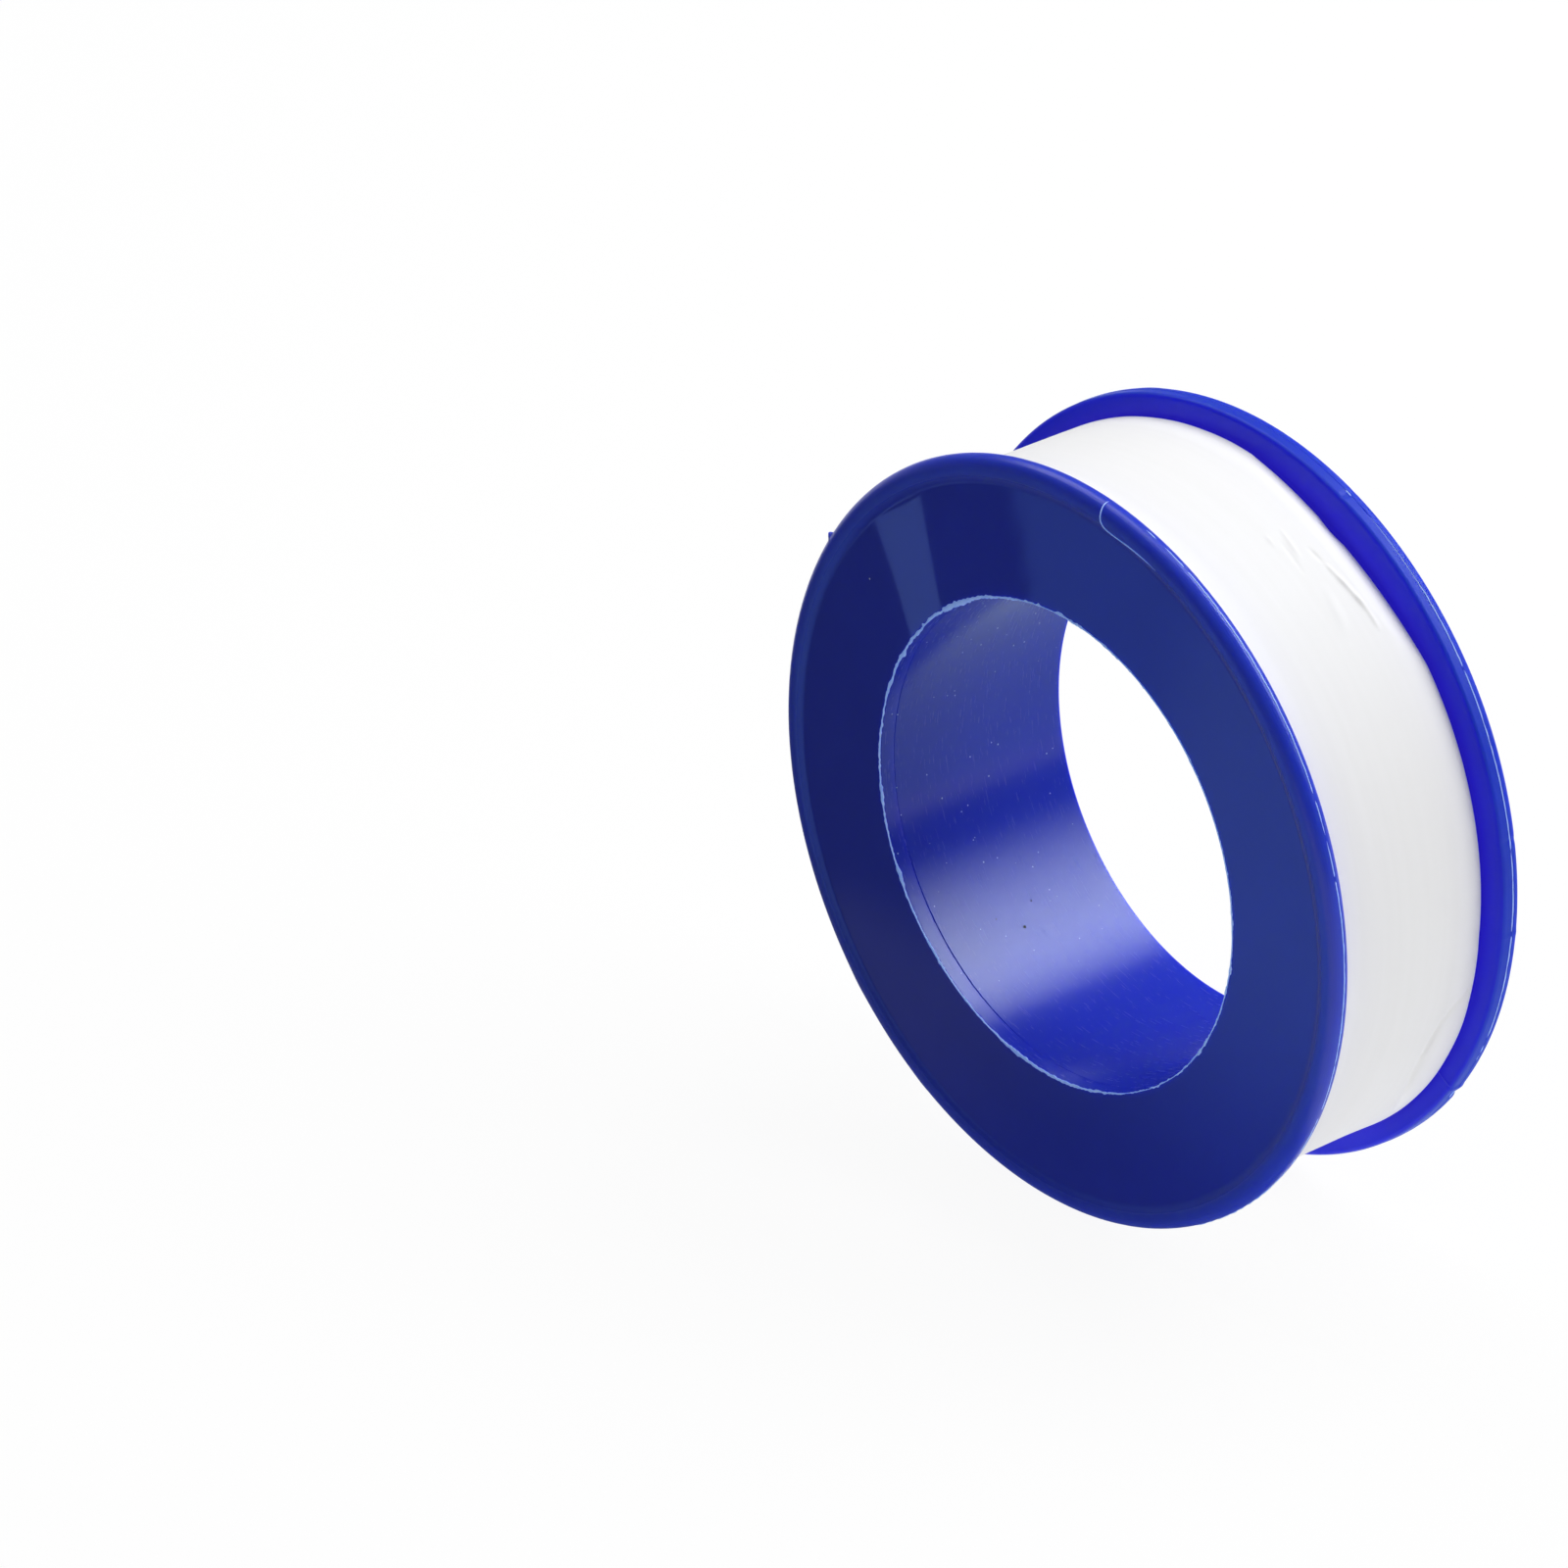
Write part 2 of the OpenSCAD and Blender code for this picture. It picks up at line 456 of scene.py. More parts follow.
# A brighter blue than the plain one: painted light for light that passes through the flange from behind
channelBlue = makeBlue("channelBlue", {
    "colours": ((0.02, 0.025, 0.54), (0.026, 0.035, 0.66)),
    "roughness": (0.4, 0.46), "grainScale": 1500.0, "relief": 0.0003 * mm, "specular": 0.15,
    "speckScale": 900.0, "speckShare": 0.003, "scatter": 3.0 * mm, "paintedFilmGlow": (0.012, 0.006, 0.16),
})
rimBlue = makeBlue("rimBlue", {
    "colours": rimColours,
    "roughness": (0.31, 0.35), "grainScale": 2500.0, "relief": 0.0003 * mm, "specular": 0.5,
    "speckScale": 1100.0, "speckShare": 0.004, "scatter": 1.5 * mm,
    "pits": [((-14.44, -7.68, 19.03), 0.2)], "pitColour": (0.002, 0.004, 0.04),
})
markedRimBlue = makeBlue("markedRimBlue", {
    "colours": rimColours,
    "roughness": (0.42, 0.46), "grainScale": 2500.0, "relief": 0.0003 * mm, "specular": 0.22,
    "speckScale": 1100.0, "speckShare": 0.004, "scatter": 1.5 * mm,
})
matteBlue = makeBlue("matteBlue", {
    "roughness": (0.42, 0.5), "grainScale": 6000.0, "relief": 0.0015 * mm, "specular": 0.5,
    "speckScale": 1100.0, "speckShare": 0.006, "scatter": 1.0 * mm,
})
# A darker blue than the others: painted shade inside the bore
boreBlue = makeBlue("boreBlue", {
    "colours": ((0.007, 0.025, 0.41), (0.01, 0.032, 0.49)),
    "paintedLowLight": (0.014, 0.038, 0.6),
    "roughness": (0.16, 0.29), "grainScale": 9000.0, "relief": 0.0008 * mm, "specular": 0.5,
    "turned": (900.0, 9000.0, 900.0), "turnedRelief": 0.0013 * mm,
    "speckScale": 2400.0, "speckShare": 0.12, "speckSize": 0.13, "scatter": 1.2 * mm,
    "pits": [
        ((-10.06, -0.37, -12.45), 0.13), ((-11.11, 1.11, -11.51), 0.08), ((-10.94, -2.03, -11.67), 0.06),
    ],
    "pitColour": (0.02, 0.018, 0.014),
})
# A brighter blue at the back mouth: painted light for light that passes through the thin flange there
mouthBlue = makeBlue("mouthBlue", {
    "colours": ((0.014, 0.036, 0.56), (0.018, 0.046, 0.68)),
    "roughness": (0.3, 0.36), "grainScale": 4000.0, "relief": 0.0006 * mm, "specular": 0.5,
    "speckScale": 1500.0, "speckShare": 0.02, "scatter": 2.0 * mm,
})


# The same plastic where it was trimmed, whitened and thin. Its pale colour is partly that whitening and
# partly painted highlight, and its glow is painted light, an emission that stands in for light carried to
# its edges
tornPlastic = {
    "colours": ((0.36, 0.52, 0.95), (0.62, 0.76, 1.0)),
    "grainScale": 4000.0,
    "shadeScale": 1400.0,
    "relief": 0.02 * mm,
    "roughness": 0.4,
    "paintedGlow": (0.04, 0.2, 0.8),
    "paintedGlowStrength": 0.3,
    "scatterWeight": 0.5,
    "scatterRadius": (0.6, 0.8, 1.0),
    "scatter": 0.15 * mm,
}


def makeTornBlue(own):
    material, nodes, links, shader = nodesOf("tornBlue")
    grain = useGroup(nodes, grainGroup, FineScale=own["grainScale"], SlowScale=own["shadeScale"])
    colour = mixColour(nodes, links, grain.outputs["Shade"], *own["colours"])
    links.new(colour, shader.inputs["Base Color"])
    links.new(bumpFrom(nodes, links, grain.outputs["Height"], own["relief"]), shader.inputs["Normal"])
    # Painted light: a glow for light that the thin plastic carries to its edges
    shader.inputs["Emission Color"].default_value = (*own["paintedGlow"], 1)
    shader.inputs["Emission Strength"].default_value = own["paintedGlowStrength"]
    shader.inputs["Roughness"].default_value = own["roughness"]
    shader.inputs["Subsurface Weight"].default_value = own["scatterWeight"]
    shader.inputs["Subsurface Radius"].default_value = own["scatterRadius"]
    shader.inputs["Subsurface Scale"].default_value = own["scatter"]
    return material


tornBlue = makeTornBlue(tornPlastic)

# Drawn white film: faint streaks along its length. It is paler towards its edges, painted light against the
# flanges' shade, and has a painted bright line at the very edge. Each edge entry is the two distances from
# the film's middle line between which its colour comes in
whiteFilm = {
    "streaks": ((45, 1500, 1), (160, 5200, 1)),
    "colours": ((0.9, 0.9, 0.898), (0.915, 0.915, 0.915)),
    "paintedEdgeLight": (4.0 * mm, 5.6 * mm),
    "paintedEdgeLightColour": (0.98, 0.98, 0.98),
    "paintedEdgeLine": (5.8 * mm, 5.9 * mm),
    "paintedEdgeLineColour": (0.97, 0.985, 1.0),
    "roughness": (0.5, 0.6),
    "relief": 0.0004 * mm,
    "specular": 0.12,
}


def makeFilmWhite(own):
    # The pattern is read from the film's own UV map, whose x is along the film and y across it, in metres
    material, nodes, links, shader = nodesOf("filmWhite")
    uvMap = nodes.new("ShaderNodeUVMap")
    uvMap.uv_map = "along"
    place = uvMap.outputs["UV"]
    wide, fine = [stretchedNoise(nodes, links, place, stretch, 2) for stretch in own["streaks"]]
    tone = mapRange(nodes, links, wide, 0.3, 0.7, 0.0, 1.0)
    colour = mixColour(nodes, links, tone, *own["colours"])
    across = mathOf(nodes, links, "ABSOLUTE", splitPlace(nodes, links, place)["Y"])
    # Painted light: paler near the edges, and a painted bright line at the very edge
    for edge in ("paintedEdgeLight", "paintedEdgeLine"):
        share = mapRange(nodes, links, across, *own[edge], 0.0, 1.0)
        colour = mixColour(nodes, links, share, colour, own[edge + "Colour"])
    links.new(colour, shader.inputs["Base Color"])
    links.new(mapRange(nodes, links, fine, 0.3, 0.7, *own["roughness"]), shader.inputs["Roughness"])
    links.new(bumpFrom(nodes, links, wide, own["relief"]), shader.inputs["Normal"])
    shader.inputs["Specular IOR Level"].default_value = own["specular"]
    return material


filmWhite = makeFilmWhite(whiteFilm)


# The spool

def flangeOutline(s, own, startRadius):
    # Outline in (radius, distance outwards from the flange's inner face), from that face to the bore's
    # mouth: a round on both sides of the rim's parting line, the bead's crest and slope, and the web
    thick = s["rimThickness"]
    inner = s["rimRadius"] - own["innerStep"]
    outer = s["rimRadius"] - own["outerStep"]
    parting, line = own["parting"], own["partingLine"]
    crestEnd = outer - own["outerRound"] - own["crestWidth"]
    t = np.linspace(0, 1, 14)
    web = thick - own["beadHeight"]
    slope = np.column_stack((crestEnd - t * own["slopeWidth"], web + own["beadHeight"] * (1 - smooth(t))))
    mouth = own["mouthRound"]
    return np.vstack((
        [[startRadius, 0]],
        arcOf(inner - own["innerRound"], own["innerRound"], own["innerRound"], -90, 0),
        [[inner, parting - 2 * line]],
        [[max(inner, outer) + 0.6 * line, parting]],
        [[outer, parting + 2 * line]],
        arcOf(outer - own["outerRound"], thick - own["outerRound"], own["outerRound"], 0, 90),
        slope,
        arcOf(s["boreRadius"] + mouth, web - mouth, mouth, 90, 180),
    ))


def rimShift(s, marks, wave):
    # Moves the rim in and out by a slow wave and by its marks. Each mark is (angle, half width in degrees,
    # height, place along Y, half width along Y)
    def shift(deg, r, y):
        near = smooth((r - s["rimRadius"] + s["rimZone"]) / s["rimBlend"])
        rise = wave * (np.sin(np.radians(3 * deg + 20)) + np.sin(np.radians(7 * deg + 80)))
        for centre, half, height, place, reach in marks:
            rise = rise + height * np.exp(-(turnedBy(deg, centre) / half) ** 2 - ((y - place) / reach) ** 2)
        return r + near * rise, y
    return shift


plainFlange = {
    "beadHeight": 0.25 * mm,
    "innerRound": 0.56 * mm,
    "outerRound": 0.82 * mm,
    "crestWidth": 0.1 * mm,
    "slopeWidth": 0.85 * mm,
    "mouthRound": 0.12 * mm,
    "parting": 0.6 * mm,
    "partingLine": 0.01 * mm,
    "innerStep": 0.0,
    "outerStep": 0.0,
    "marks": [
        (147.9, 0.4, 0.3 * mm, -7.3 * mm, 0.25 * mm),
        (-135.8, 2.2, 0.06 * mm, -7.3 * mm, 0.8 * mm),
        (-118.0, 1.6, 0.04 * mm, -7.3 * mm, 0.8 * mm),
        (17.4, 0.4, 0.04 * mm, -6.95 * mm, 0.15 * mm),
        (38.0, 0.3, 0.03 * mm, -6.95 * mm, 0.15 * mm),
    ],
    "wave": -0.008 * mm,
    "ripple": 0.0025 * mm,
    "rippleFrom": 0.6 * mm,
    "rippleBlend": 0.36 * mm,
}


def faceMiddles(points, faces):
    # The distance from the Y axis and the place along Y of each face's middle
    middle = points[faces].mean(axis=1)
    return np.hypot(middle[:, 0], middle[:, 2]), middle[:, 1]


def makePlainFlange(s, own):
    # The groove and the flange's outline, turned about Y, with a faint ripple on the outer face
    inner = s["tongueInner"] - s["weldGap"]
    outer = s["tongueOuter"] + s["weldGap"]
    depth = s["tongueLength"] + s["weldGap"]
    groove = [
        [s["boreRadius"], s["seam"]], [s["boreRadius"] + s["seam"], 0], [inner, 0],
        [inner, depth], [outer, depth],
    ]
    outline = np.vstack((groove, flangeOutline(s, own, outer)))
    outline = refined(outline, s["outlineStep"], s["support"])
    outline[:, 1] = -s["faceY"] - outline[:, 1]
    rimMoves = rimShift(s, own["marks"], own["wave"])

    def shift(deg, r, y):
        r, y = rimMoves(deg, r, y)
        outside = smooth((-y - s["faceY"] - own["rippleFrom"]) / own["rippleBlend"])
        ripple = np.sin(np.radians(4 * deg + 30) + 300 * r) + np.sin(np.radians(9 * deg) + 500 * r)
        return r, y + own["ripple"] * outside * ripple

    deg = turnAngles(s["turnSteps"], [(m[0], m[1]) for m in own["marks"]])
    points, faces = revolved(outline, deg, shift)
    radius, y = faceMiddles(points, faces)
    rimFrom = s["rimRadius"] - own["outerRound"] - own["crestWidth"] - 0.1 * own["slopeWidth"]
    materials = [glossBlue, boreBlue, rimBlue, channelBlue]
    zones = np.zeros(len(faces))
    zones[radius > rimFrom] = materials.index(rimBlue)
    zones[-s["faceY"] - y < 0.1 * own["innerRound"]] = materials.index(channelBlue)
    zones[radius < s["boreRadius"] + 0.5 * own["mouthRound"]] = materials.index(boreBlue)
    return newPiece("plainFlange", points, faces, materials, zones)


markedFlange = {
    "beadHeight": 0.15 * mm,
    "innerRound": 0.3 * mm,
    "outerRound": 0.42 * mm,
    "crestWidth": 0.5 * mm,
    "slopeWidth": 0.6 * mm,
    "mouthRound": 0.06 * mm,
    "parting": 0.82 * mm,
    "partingLine": 0.012 * mm,
    "innerStep": 0.02 * mm,
    "outerStep": 0.0,
    "marks": [
        (-33.7, 0.7, -0.16 * mm, 7.6 * mm, 0.6 * mm),
        (-31.8, 0.5, 0.06 * mm, 7.0 * mm, 0.8 * mm),
        (67.4, 0.5, -0.07 * mm, 7.0 * mm, 0.6 * mm),
        (12.2, 0.5, -0.06 * mm, 7.2 * mm, 0.8 * mm),
        (-2.1, 0.6, 0.05 * mm, 7.2 * mm, 0.8 * mm),
        (109.0, 2.5, 0.03 * mm, 7.4 * mm, 0.8 * mm),
    ],
    "wave": -0.008 * mm,
    "ridgeDeg": -31.0,
    "ridgeHalf": 0.18,
    "ridgeHeight": 0.05 * mm,
    "ridgeBlend": 0.1 * mm,
    "faceFrom": 0.7 * mm,
    "mouthFrom": 1.0 * mm,
}


def makeSpoolBody(s, own):
    # The hub with its tongue and the marked flange's outline, turned about Y, with a fine moulded ridge
    # across the flange's inner face
    face = s["faceY"]
    tongueEnd = -face - s["tongueLength"]
    hubEnd = [
        [s["boreRadius"], -face + s["seam"]], [s["boreRadius"] + s["seam"], -face],
        [s["tongueInner"], -face], [s["tongueInner"], tongueEnd],
        [s["tongueOuter"], tongueEnd], [s["tongueOuter"], -face],
        [s["hubRadius"], -face],
    ]
    flange = flangeOutline(s, own, s["hubRadius"]) + [0, face]
    outline = refined(np.vstack((hubEnd, flange)), s["outlineStep"], s["support"])
    rimMoves = rimShift(s, own["marks"], own["wave"])

    def shift(deg, r, y):
        r, y = rimMoves(deg, r, y)
        ridge = own["ridgeHeight"] * np.exp(-(turnedBy(deg, own["ridgeDeg"]) / own["ridgeHalf"]) ** 2)
        onFace = smooth((face + own["ridgeBlend"] - y) / own["ridgeBlend"])
        return r, y - ridge * onFace * smooth((r - s["hubRadius"]) / mm)

    details = [(m[0], m[1]) for m in own["marks"]] + [(own["ridgeDeg"], 2 * own["ridgeHalf"])]
    deg = turnAngles(s["turnSteps"], details)
    points, faces = revolved(outline, deg, shift)
    radius, y = faceMiddles(points, faces)
    onRim = (radius > s["rimRadius"] - own["innerRound"]) & (y > face + 0.25 * own["innerRound"])
    onFace = (radius < s["rimRadius"] - own["outerRound"]) & (y > face + own["faceFrom"])
    inBore = radius < s["boreRadius"] + 0.7 * own["mouthRound"]
    materials = [channelBlue, matteBlue, boreBlue, markedRimBlue, mouthBlue]
    zones = np.zeros(len(faces))
    zones[onRim] = materials.index(markedRimBlue)
    zones[onFace] = materials.index(matteBlue)
    zones[inBore] = materials.index(boreBlue)
    zones[inBore & (y > face + own["mouthFrom"])] = materials.index(mouthBlue)
    return newPiece("spoolBody", points, faces, materials, zones)


plainPiece = makePlainFlange(spool, plainFlange)
spoolPiece = makeSpoolBody(spool, markedFlange)

# The ragged lip that trimming left round the plain side's mouth. Each row is an angle in degrees, how far
# the lip spreads out over the face there and how far it stands into the bore, in millimetres
tornLip = {
    "rows": [
        (-180, 0.05, 0.02), (-153, 0.05, 0.02), (-152, 0.12, 0.04), (-149, 0.05, 0.02), (-106, 0.05, 0.02),
        (-104, 0.17, 0.1), (-101, 0.12, 0.05), (-92, 0.15, 0.08), (-86, 0.1, 0.04), (-80, 0.13, 0.07),
        (-74, 0.06, 0.02), (-20, 0.05, 0.02), (40, 0.04, 0.01), (74, 0.05, 0.02), (86, 0.06, 0.03),
        (90, 0.14, 0.08), (91, 0.03, 0.01), (95.4, 0.06, 0.01), (96, 0.17, 0.03), (97, 0.05, 0.02),
        (105, 0.06, 0.02), (112, 0.12, 0.06), (116, 0.18, 0.1), (122, 0.19, 0.12), (129.8, 0.22, 0.14),
        (130.2, 0.08, 0.01), (134, 0.12, 0.0), (138, 0.14, 0.0), (138.9, 0.26, 0.04), (139.2, 0.06, 0.07),
        (144, 0.07, 0.05), (149.5, 0.06, 0.03), (150.6, 0.07, 0.1), (151.2, 0.16, 0.02), (158, 0.06, 0.02),
        (159, 0.06, 0.07), (161, 0.14, 0.02), (172, 0.05, 0.02), (180, 0.05, 0.02),
    ],
    "belowCrest": plainFlange["beadHeight"],
    "height": 0.05 * mm,
    "depth": 0.1 * mm,
    "wideSpread": 0.25 * mm,
    "wideOverhang": 0.1 * mm,
    "rooted": 0.06 * mm,
    "jitter": 0.06,
    "jitterWidth": 9,
    "drift": 0.035,
    "driftWidth": 31,
    "steps": 1800,
}


def makeTornLip(s, own):
    # A closed bead round the mouth: nine points of its section, scaled at each angle by its spread (out) and
    # its overhang (into), which are the rows' values plus a fast and a slow noise
    deg = np.arange(own["steps"]) * 360 / own["steps"] - 180
    table = np.array(own["rows"])
    fast = [softNoise(n, own["jitterWidth"], 4) for n in rng.normal(size=(2, own["steps"]))]
    slow = [softNoise(n, own["driftWidth"], 4) for n in rng.normal(size=(2, own["steps"]))]
    noise = np.stack(fast) * own["jitter"] + np.stack(slow) * own["drift"]
    out = np.clip(np.interp(deg, table[:, 0], table[:, 1]) + noise[0], 0.03, 1) * mm
    into = np.clip(np.interp(deg, table[:, 0], table[:, 2]) + noise[1], 0.005, 1) * mm
    height = own["height"] * (0.6 + out / own["wideSpread"])
    depth = own["depth"] * (0.5 + into / own["wideOverhang"])
    hidden = np.full_like(out, own["rooted"])
    section = [
        (out, 0 * out), (0.75 * out, -0.7 * height), (0.3 * out, -height), (-0.5 * into, -0.6 * height),
        (-into, 0.1 * depth), (-0.6 * into, 0.6 * depth), (0 * into, depth), (hidden, depth),
        (out, hidden),
    ]
    r = np.stack([s["boreRadius"] + p[0] for p in section], axis=1)
    y = np.stack([-s["crestY"] + own["belowCrest"] + p[1] for p in section], axis=1)
    points = onTurn(r, y, np.radians(deg)[:, None]).reshape(-1, 3)
    faces = facingOut(points, gridFaces(own["steps"], len(section), True, True))
    return newPiece("mouthLip", points, faces, [tornBlue])


lipPiece = makeTornLip(spool, tornLip)

# A fine strand of trimmed plastic that lies over the plain rim and along the foot of its bead. The route is
# (angle in degrees, radius, y) in millimetres
strand = {
    "route": [
        (81.6, 25.0, -6.9), (81.6, 25.04, -7.2), (81.5, 24.97, -7.45), (81.4, 24.86, -7.62),
        (81.2, 24.62, -7.8), (81.0, 24.35, -7.89), (80.8, 24.1, -7.9), (80.4, 23.85, -7.83),
        (80.0, 23.7, -7.77), (79.2, 23.66, -7.76), (77.7, 23.66, -7.76), (76.3, 23.71, -7.78),
        (75.0, 23.78, -7.81), (73.0, 23.85, -7.83), (70.5, 23.9, -7.84), (68.0, 23.9, -7.83),
    ],
    "radius": 0.04 * mm,
    "steps": 200,
    "sides": 8,
    "smoothing": 11,
    "away": (0.3, -0.9, 0.3),
}


def makeStrand(own):
    # A tube on the smoothed route: rings across the direction of travel, which thin to almost nothing at
    # both ends, and a fan of triangles over each end
    route = np.array(own["route"])
    way = np.linspace(0, 1, len(route))
    t = np.linspace(0, 1, own["steps"])
    bell = np.hanning(own["smoothing"]) / np.hanning(own["smoothing"]).sum()
    padded = [np.pad(np.interp(t, way, c), own["smoothing"] // 2, "edge") for c in route.T]
    deg, r, y = (np.convolve(c, bell, "valid") for c in padded)
    centre = onTurn(r * mm, y * mm, np.radians(deg))
    ahead = np.gradient(centre, axis=0)
    ahead /= np.linalg.norm(ahead, axis=1)[:, None]
    side = np.cross(ahead, own["away"])
    side /= np.linalg.norm(side, axis=1)[:, None]
    rise = np.cross(side, ahead)
    size = own["radius"] * np.clip(np.sin(np.pi * np.clip(t * 1.02 - 0.01, 0, 1)) * 3, 0.05, 1)
    count = own["sides"]
    around = np.linspace(0, 2 * np.pi, count, endpoint=False)
    ring = np.cos(around)[None, :, None] * side[:, None] + np.sin(around)[None, :, None] * rise[:, None]
    points = np.vstack(((centre[:, None] + size[:, None, None] * ring).reshape(-1, 3), centre[[0, -1]]))
    tube = gridFaces(own["steps"], count, False, True)
    k = np.arange(count)
    lastRing = (own["steps"] - 1) * count
    startTip = lastRing + count
    startCap = np.column_stack(((k + 1) % count, k, np.full(count, startTip)))
    endCap = np.column_stack((lastRing + k, lastRing + (k + 1) % count, np.full(count, startTip + 1)))
    faces = tube.tolist() + startCap.tolist() + endCap.tolist()
    return newPiece("strand", points, faces, [tornBlue], sharpDeg=None)


strandPiece = makeStrand(strand)

# The flash that the mould left along the rims' parting lines: a ragged thread that stands out of the rim
# between two angles and lies under it elsewhere
burr = {
    "steps": 2400,
    "sides": 6,
    "radius": 0.04 * mm,
    "fadeDeg": 4,
    "noiseWidth": 15,
    "sway": 0.015 * mm,
    "places": {
        "plainBurr": {"y": -7.0 * mm, "from": -62, "to": 76, "rise": 0.05 * mm},
        "markedBurr": {"y": 7.22 * mm, "from": -30.5, "to": 52, "rise": 0.035 * mm},
    },
}


def makeBurr(name, s, own):
    # A closed ring of small round sections, whose centre moves out of the rim by its rise times a noise
    steps, size, place = own["steps"], own["radius"], own["places"][name]
    deg = np.arange(steps) * 360 / steps - 180
    noise = softNoise(rng.normal(size=steps), own["noiseWidth"], 3)
    shown = smooth((deg - place["from"]) / own["fadeDeg"]) * smooth((place["to"] - deg) / own["fadeDeg"])
    rise = place["rise"] * shown * np.clip(0.75 + 0.35 * noise, 0.1, 1.3)
    around = np.linspace(0, 2 * np.pi, own["sides"], endpoint=False)
    r = (s["rimRadius"] - 1.2 * size + rise)[:, None] + size * np.cos(around)
    y = place["y"] + own["sway"] * np.sin(np.radians(11 * deg))[:, None] + size * np.sin(around)
    points = onTurn(r, y, np.radians(deg)[:, None]).reshape(-1, 3)
    faces = facingOut(points, gridFaces(steps, own["sides"], True, True))
    return newPiece(name, points, faces, [tornBlue])


burrPieces = [makeBurr(name, spool, burr) for name in burr["places"]]

# Plain figures and ticks raised on the marked face: a generic scale round the ring
scaleMarks = {
    "figures": [str(n) for n in range(1, 13)],
    "figureStartDeg": 96.0,
    "figureStepDeg": -16.0,
    "figureHeight": 4.2 * mm,
    "figureShare": 0.7,
    "figureWeight": 0.05 * mm,
    "figureRadius": 17.7 * mm,
    "tickStartDeg": 112.0,
    "tickEndDeg": 264.0,
    "tickCount": 39,
    "tickInner": 18.6 * mm,
    "tickShort": 1.5 * mm,
    "tickLong": 2.8 * mm,
    "tickWidth": 0.5 * mm,
    "longEvery": 5,
    "rise": 0.14 * mm,
    "sunk": 0.05 * mm,
    "bevel": 0.06 * mm,
}


def bentRound(points, centreDeg, radius, faceY):
    # A flat point (x, y, z) goes to radius + y, turned clockwise from centreDeg by x / radius, seen from +Y
    turn = math.radians(centreDeg) - points[:, 0] / radius
    r = radius + points[:, 1]
    return np.column_stack((-r * np.cos(turn), faceY + points[:, 2], r * np.sin(turn)))


def figureMesh(text, own):
    # A figure with rounded edges, made a mesh. figureShare is a figure's height over its font's size
    curve = bpy.data.curves.new("figure", "FONT")
    curve.body = text
    curve.align_x = "CENTER"
    curve.size = own["figureHeight"] / own["figureShare"]
    curve.resolution_u = 6
    curve.offset = own["figureWeight"]
    curve.bevel_depth = own["bevel"]
    curve.bevel_resolution = 2
    curve.extrude = (own["rise"] + own["sunk"]) / 2 - own["bevel"]
    holder = bpy.data.objects.new("figure", curve)
    bpy.context.scene.collection.objects.link(holder)
    bpy.context.view_layer.update()
    mesh = bpy.data.meshes.new_from_object(holder.evaluated_get(bpy.context.evaluated_depsgraph_get()))
    bpy.data.objects.remove(holder)
    return mesh


def tickGrid(own, length):
    # A bar: a grid that is flat inside topShare, and whose outermost points lie below the face, so that the
    # bar's sides slope a little
    steps, topShare = 9, 0.8
    u = np.linspace(-1, 1, steps)
    half = np.array((own["tickWidth"], length)) / 2
    a, b = np.meshgrid(u, u, indexing="ij")
    edge = np.maximum(np.abs(a), np.abs(b))
    grow = np.where(edge > topShare, 1.0, edge / topShare)
    shape = np.where(edge > 0, grow / np.maximum(edge, 1e-9), 0)
    drop = np.where(edge > topShare, (edge - topShare) / 0.2, 0)
    z = own["rise"] - drop * (own["rise"] + own["sunk"])
    inset = np.where(edge > 0.55, 1, 0.97)
    points = np.stack((a * shape * half[0] * inset, b * shape * half[1] * inset, z), axis=-1)
    return points.reshape(-1, 3), gridFaces(steps, steps, False, False)


def makeScaleMarks(s, own):
    # All the figures and ticks bent round the face as one mesh
    faceY = s["crestY"] - markedFlange["beadHeight"]
    allPoints, allFaces, start = [], [], 0
    for n, text in enumerate(own["figures"]):
        mesh = figureMesh(text, own)
        flat = np.zeros(3 * len(mesh.vertices))
        mesh.vertices.foreach_get("co", flat)
        flat = flat.reshape(-1, 3)
        flat[:, 2] += (own["rise"] - own["sunk"]) / 2
        corners = np.zeros(len(mesh.loops), np.int32)
        mesh.loops.foreach_get("vertex_index", corners)
        starts = np.zeros(len(mesh.polygons), np.int32)
        mesh.polygons.foreach_get("loop_start", starts)
        allFaces += [face.tolist() for face in np.split(corners + start, starts[1:])]
        centre = own["figureStartDeg"] + n * own["figureStepDeg"]
        allPoints.append(bentRound(flat, centre, own["figureRadius"], faceY))
        start += len(flat)
        bpy.data.meshes.remove(mesh)
    for n, centre in enumerate(np.linspace(own["tickStartDeg"], own["tickEndDeg"], own["tickCount"])):
        length = own["tickLong"] if (n + 1) % own["longEvery"] == 0 else own["tickShort"]
        flat, faces = tickGrid(own, length)
        flat[:, 1] += length / 2
        allPoints.append(bentRound(flat, centre, own["tickInner"], faceY))
        allFaces += (faces[:, ::-1] + start).tolist()
        start += len(flat)
    return newPiece("scaleMarks", np.vstack(allPoints), allFaces, [matteBlue])


marksPiece = makeScaleMarks(spool, scaleMarks)

# The film

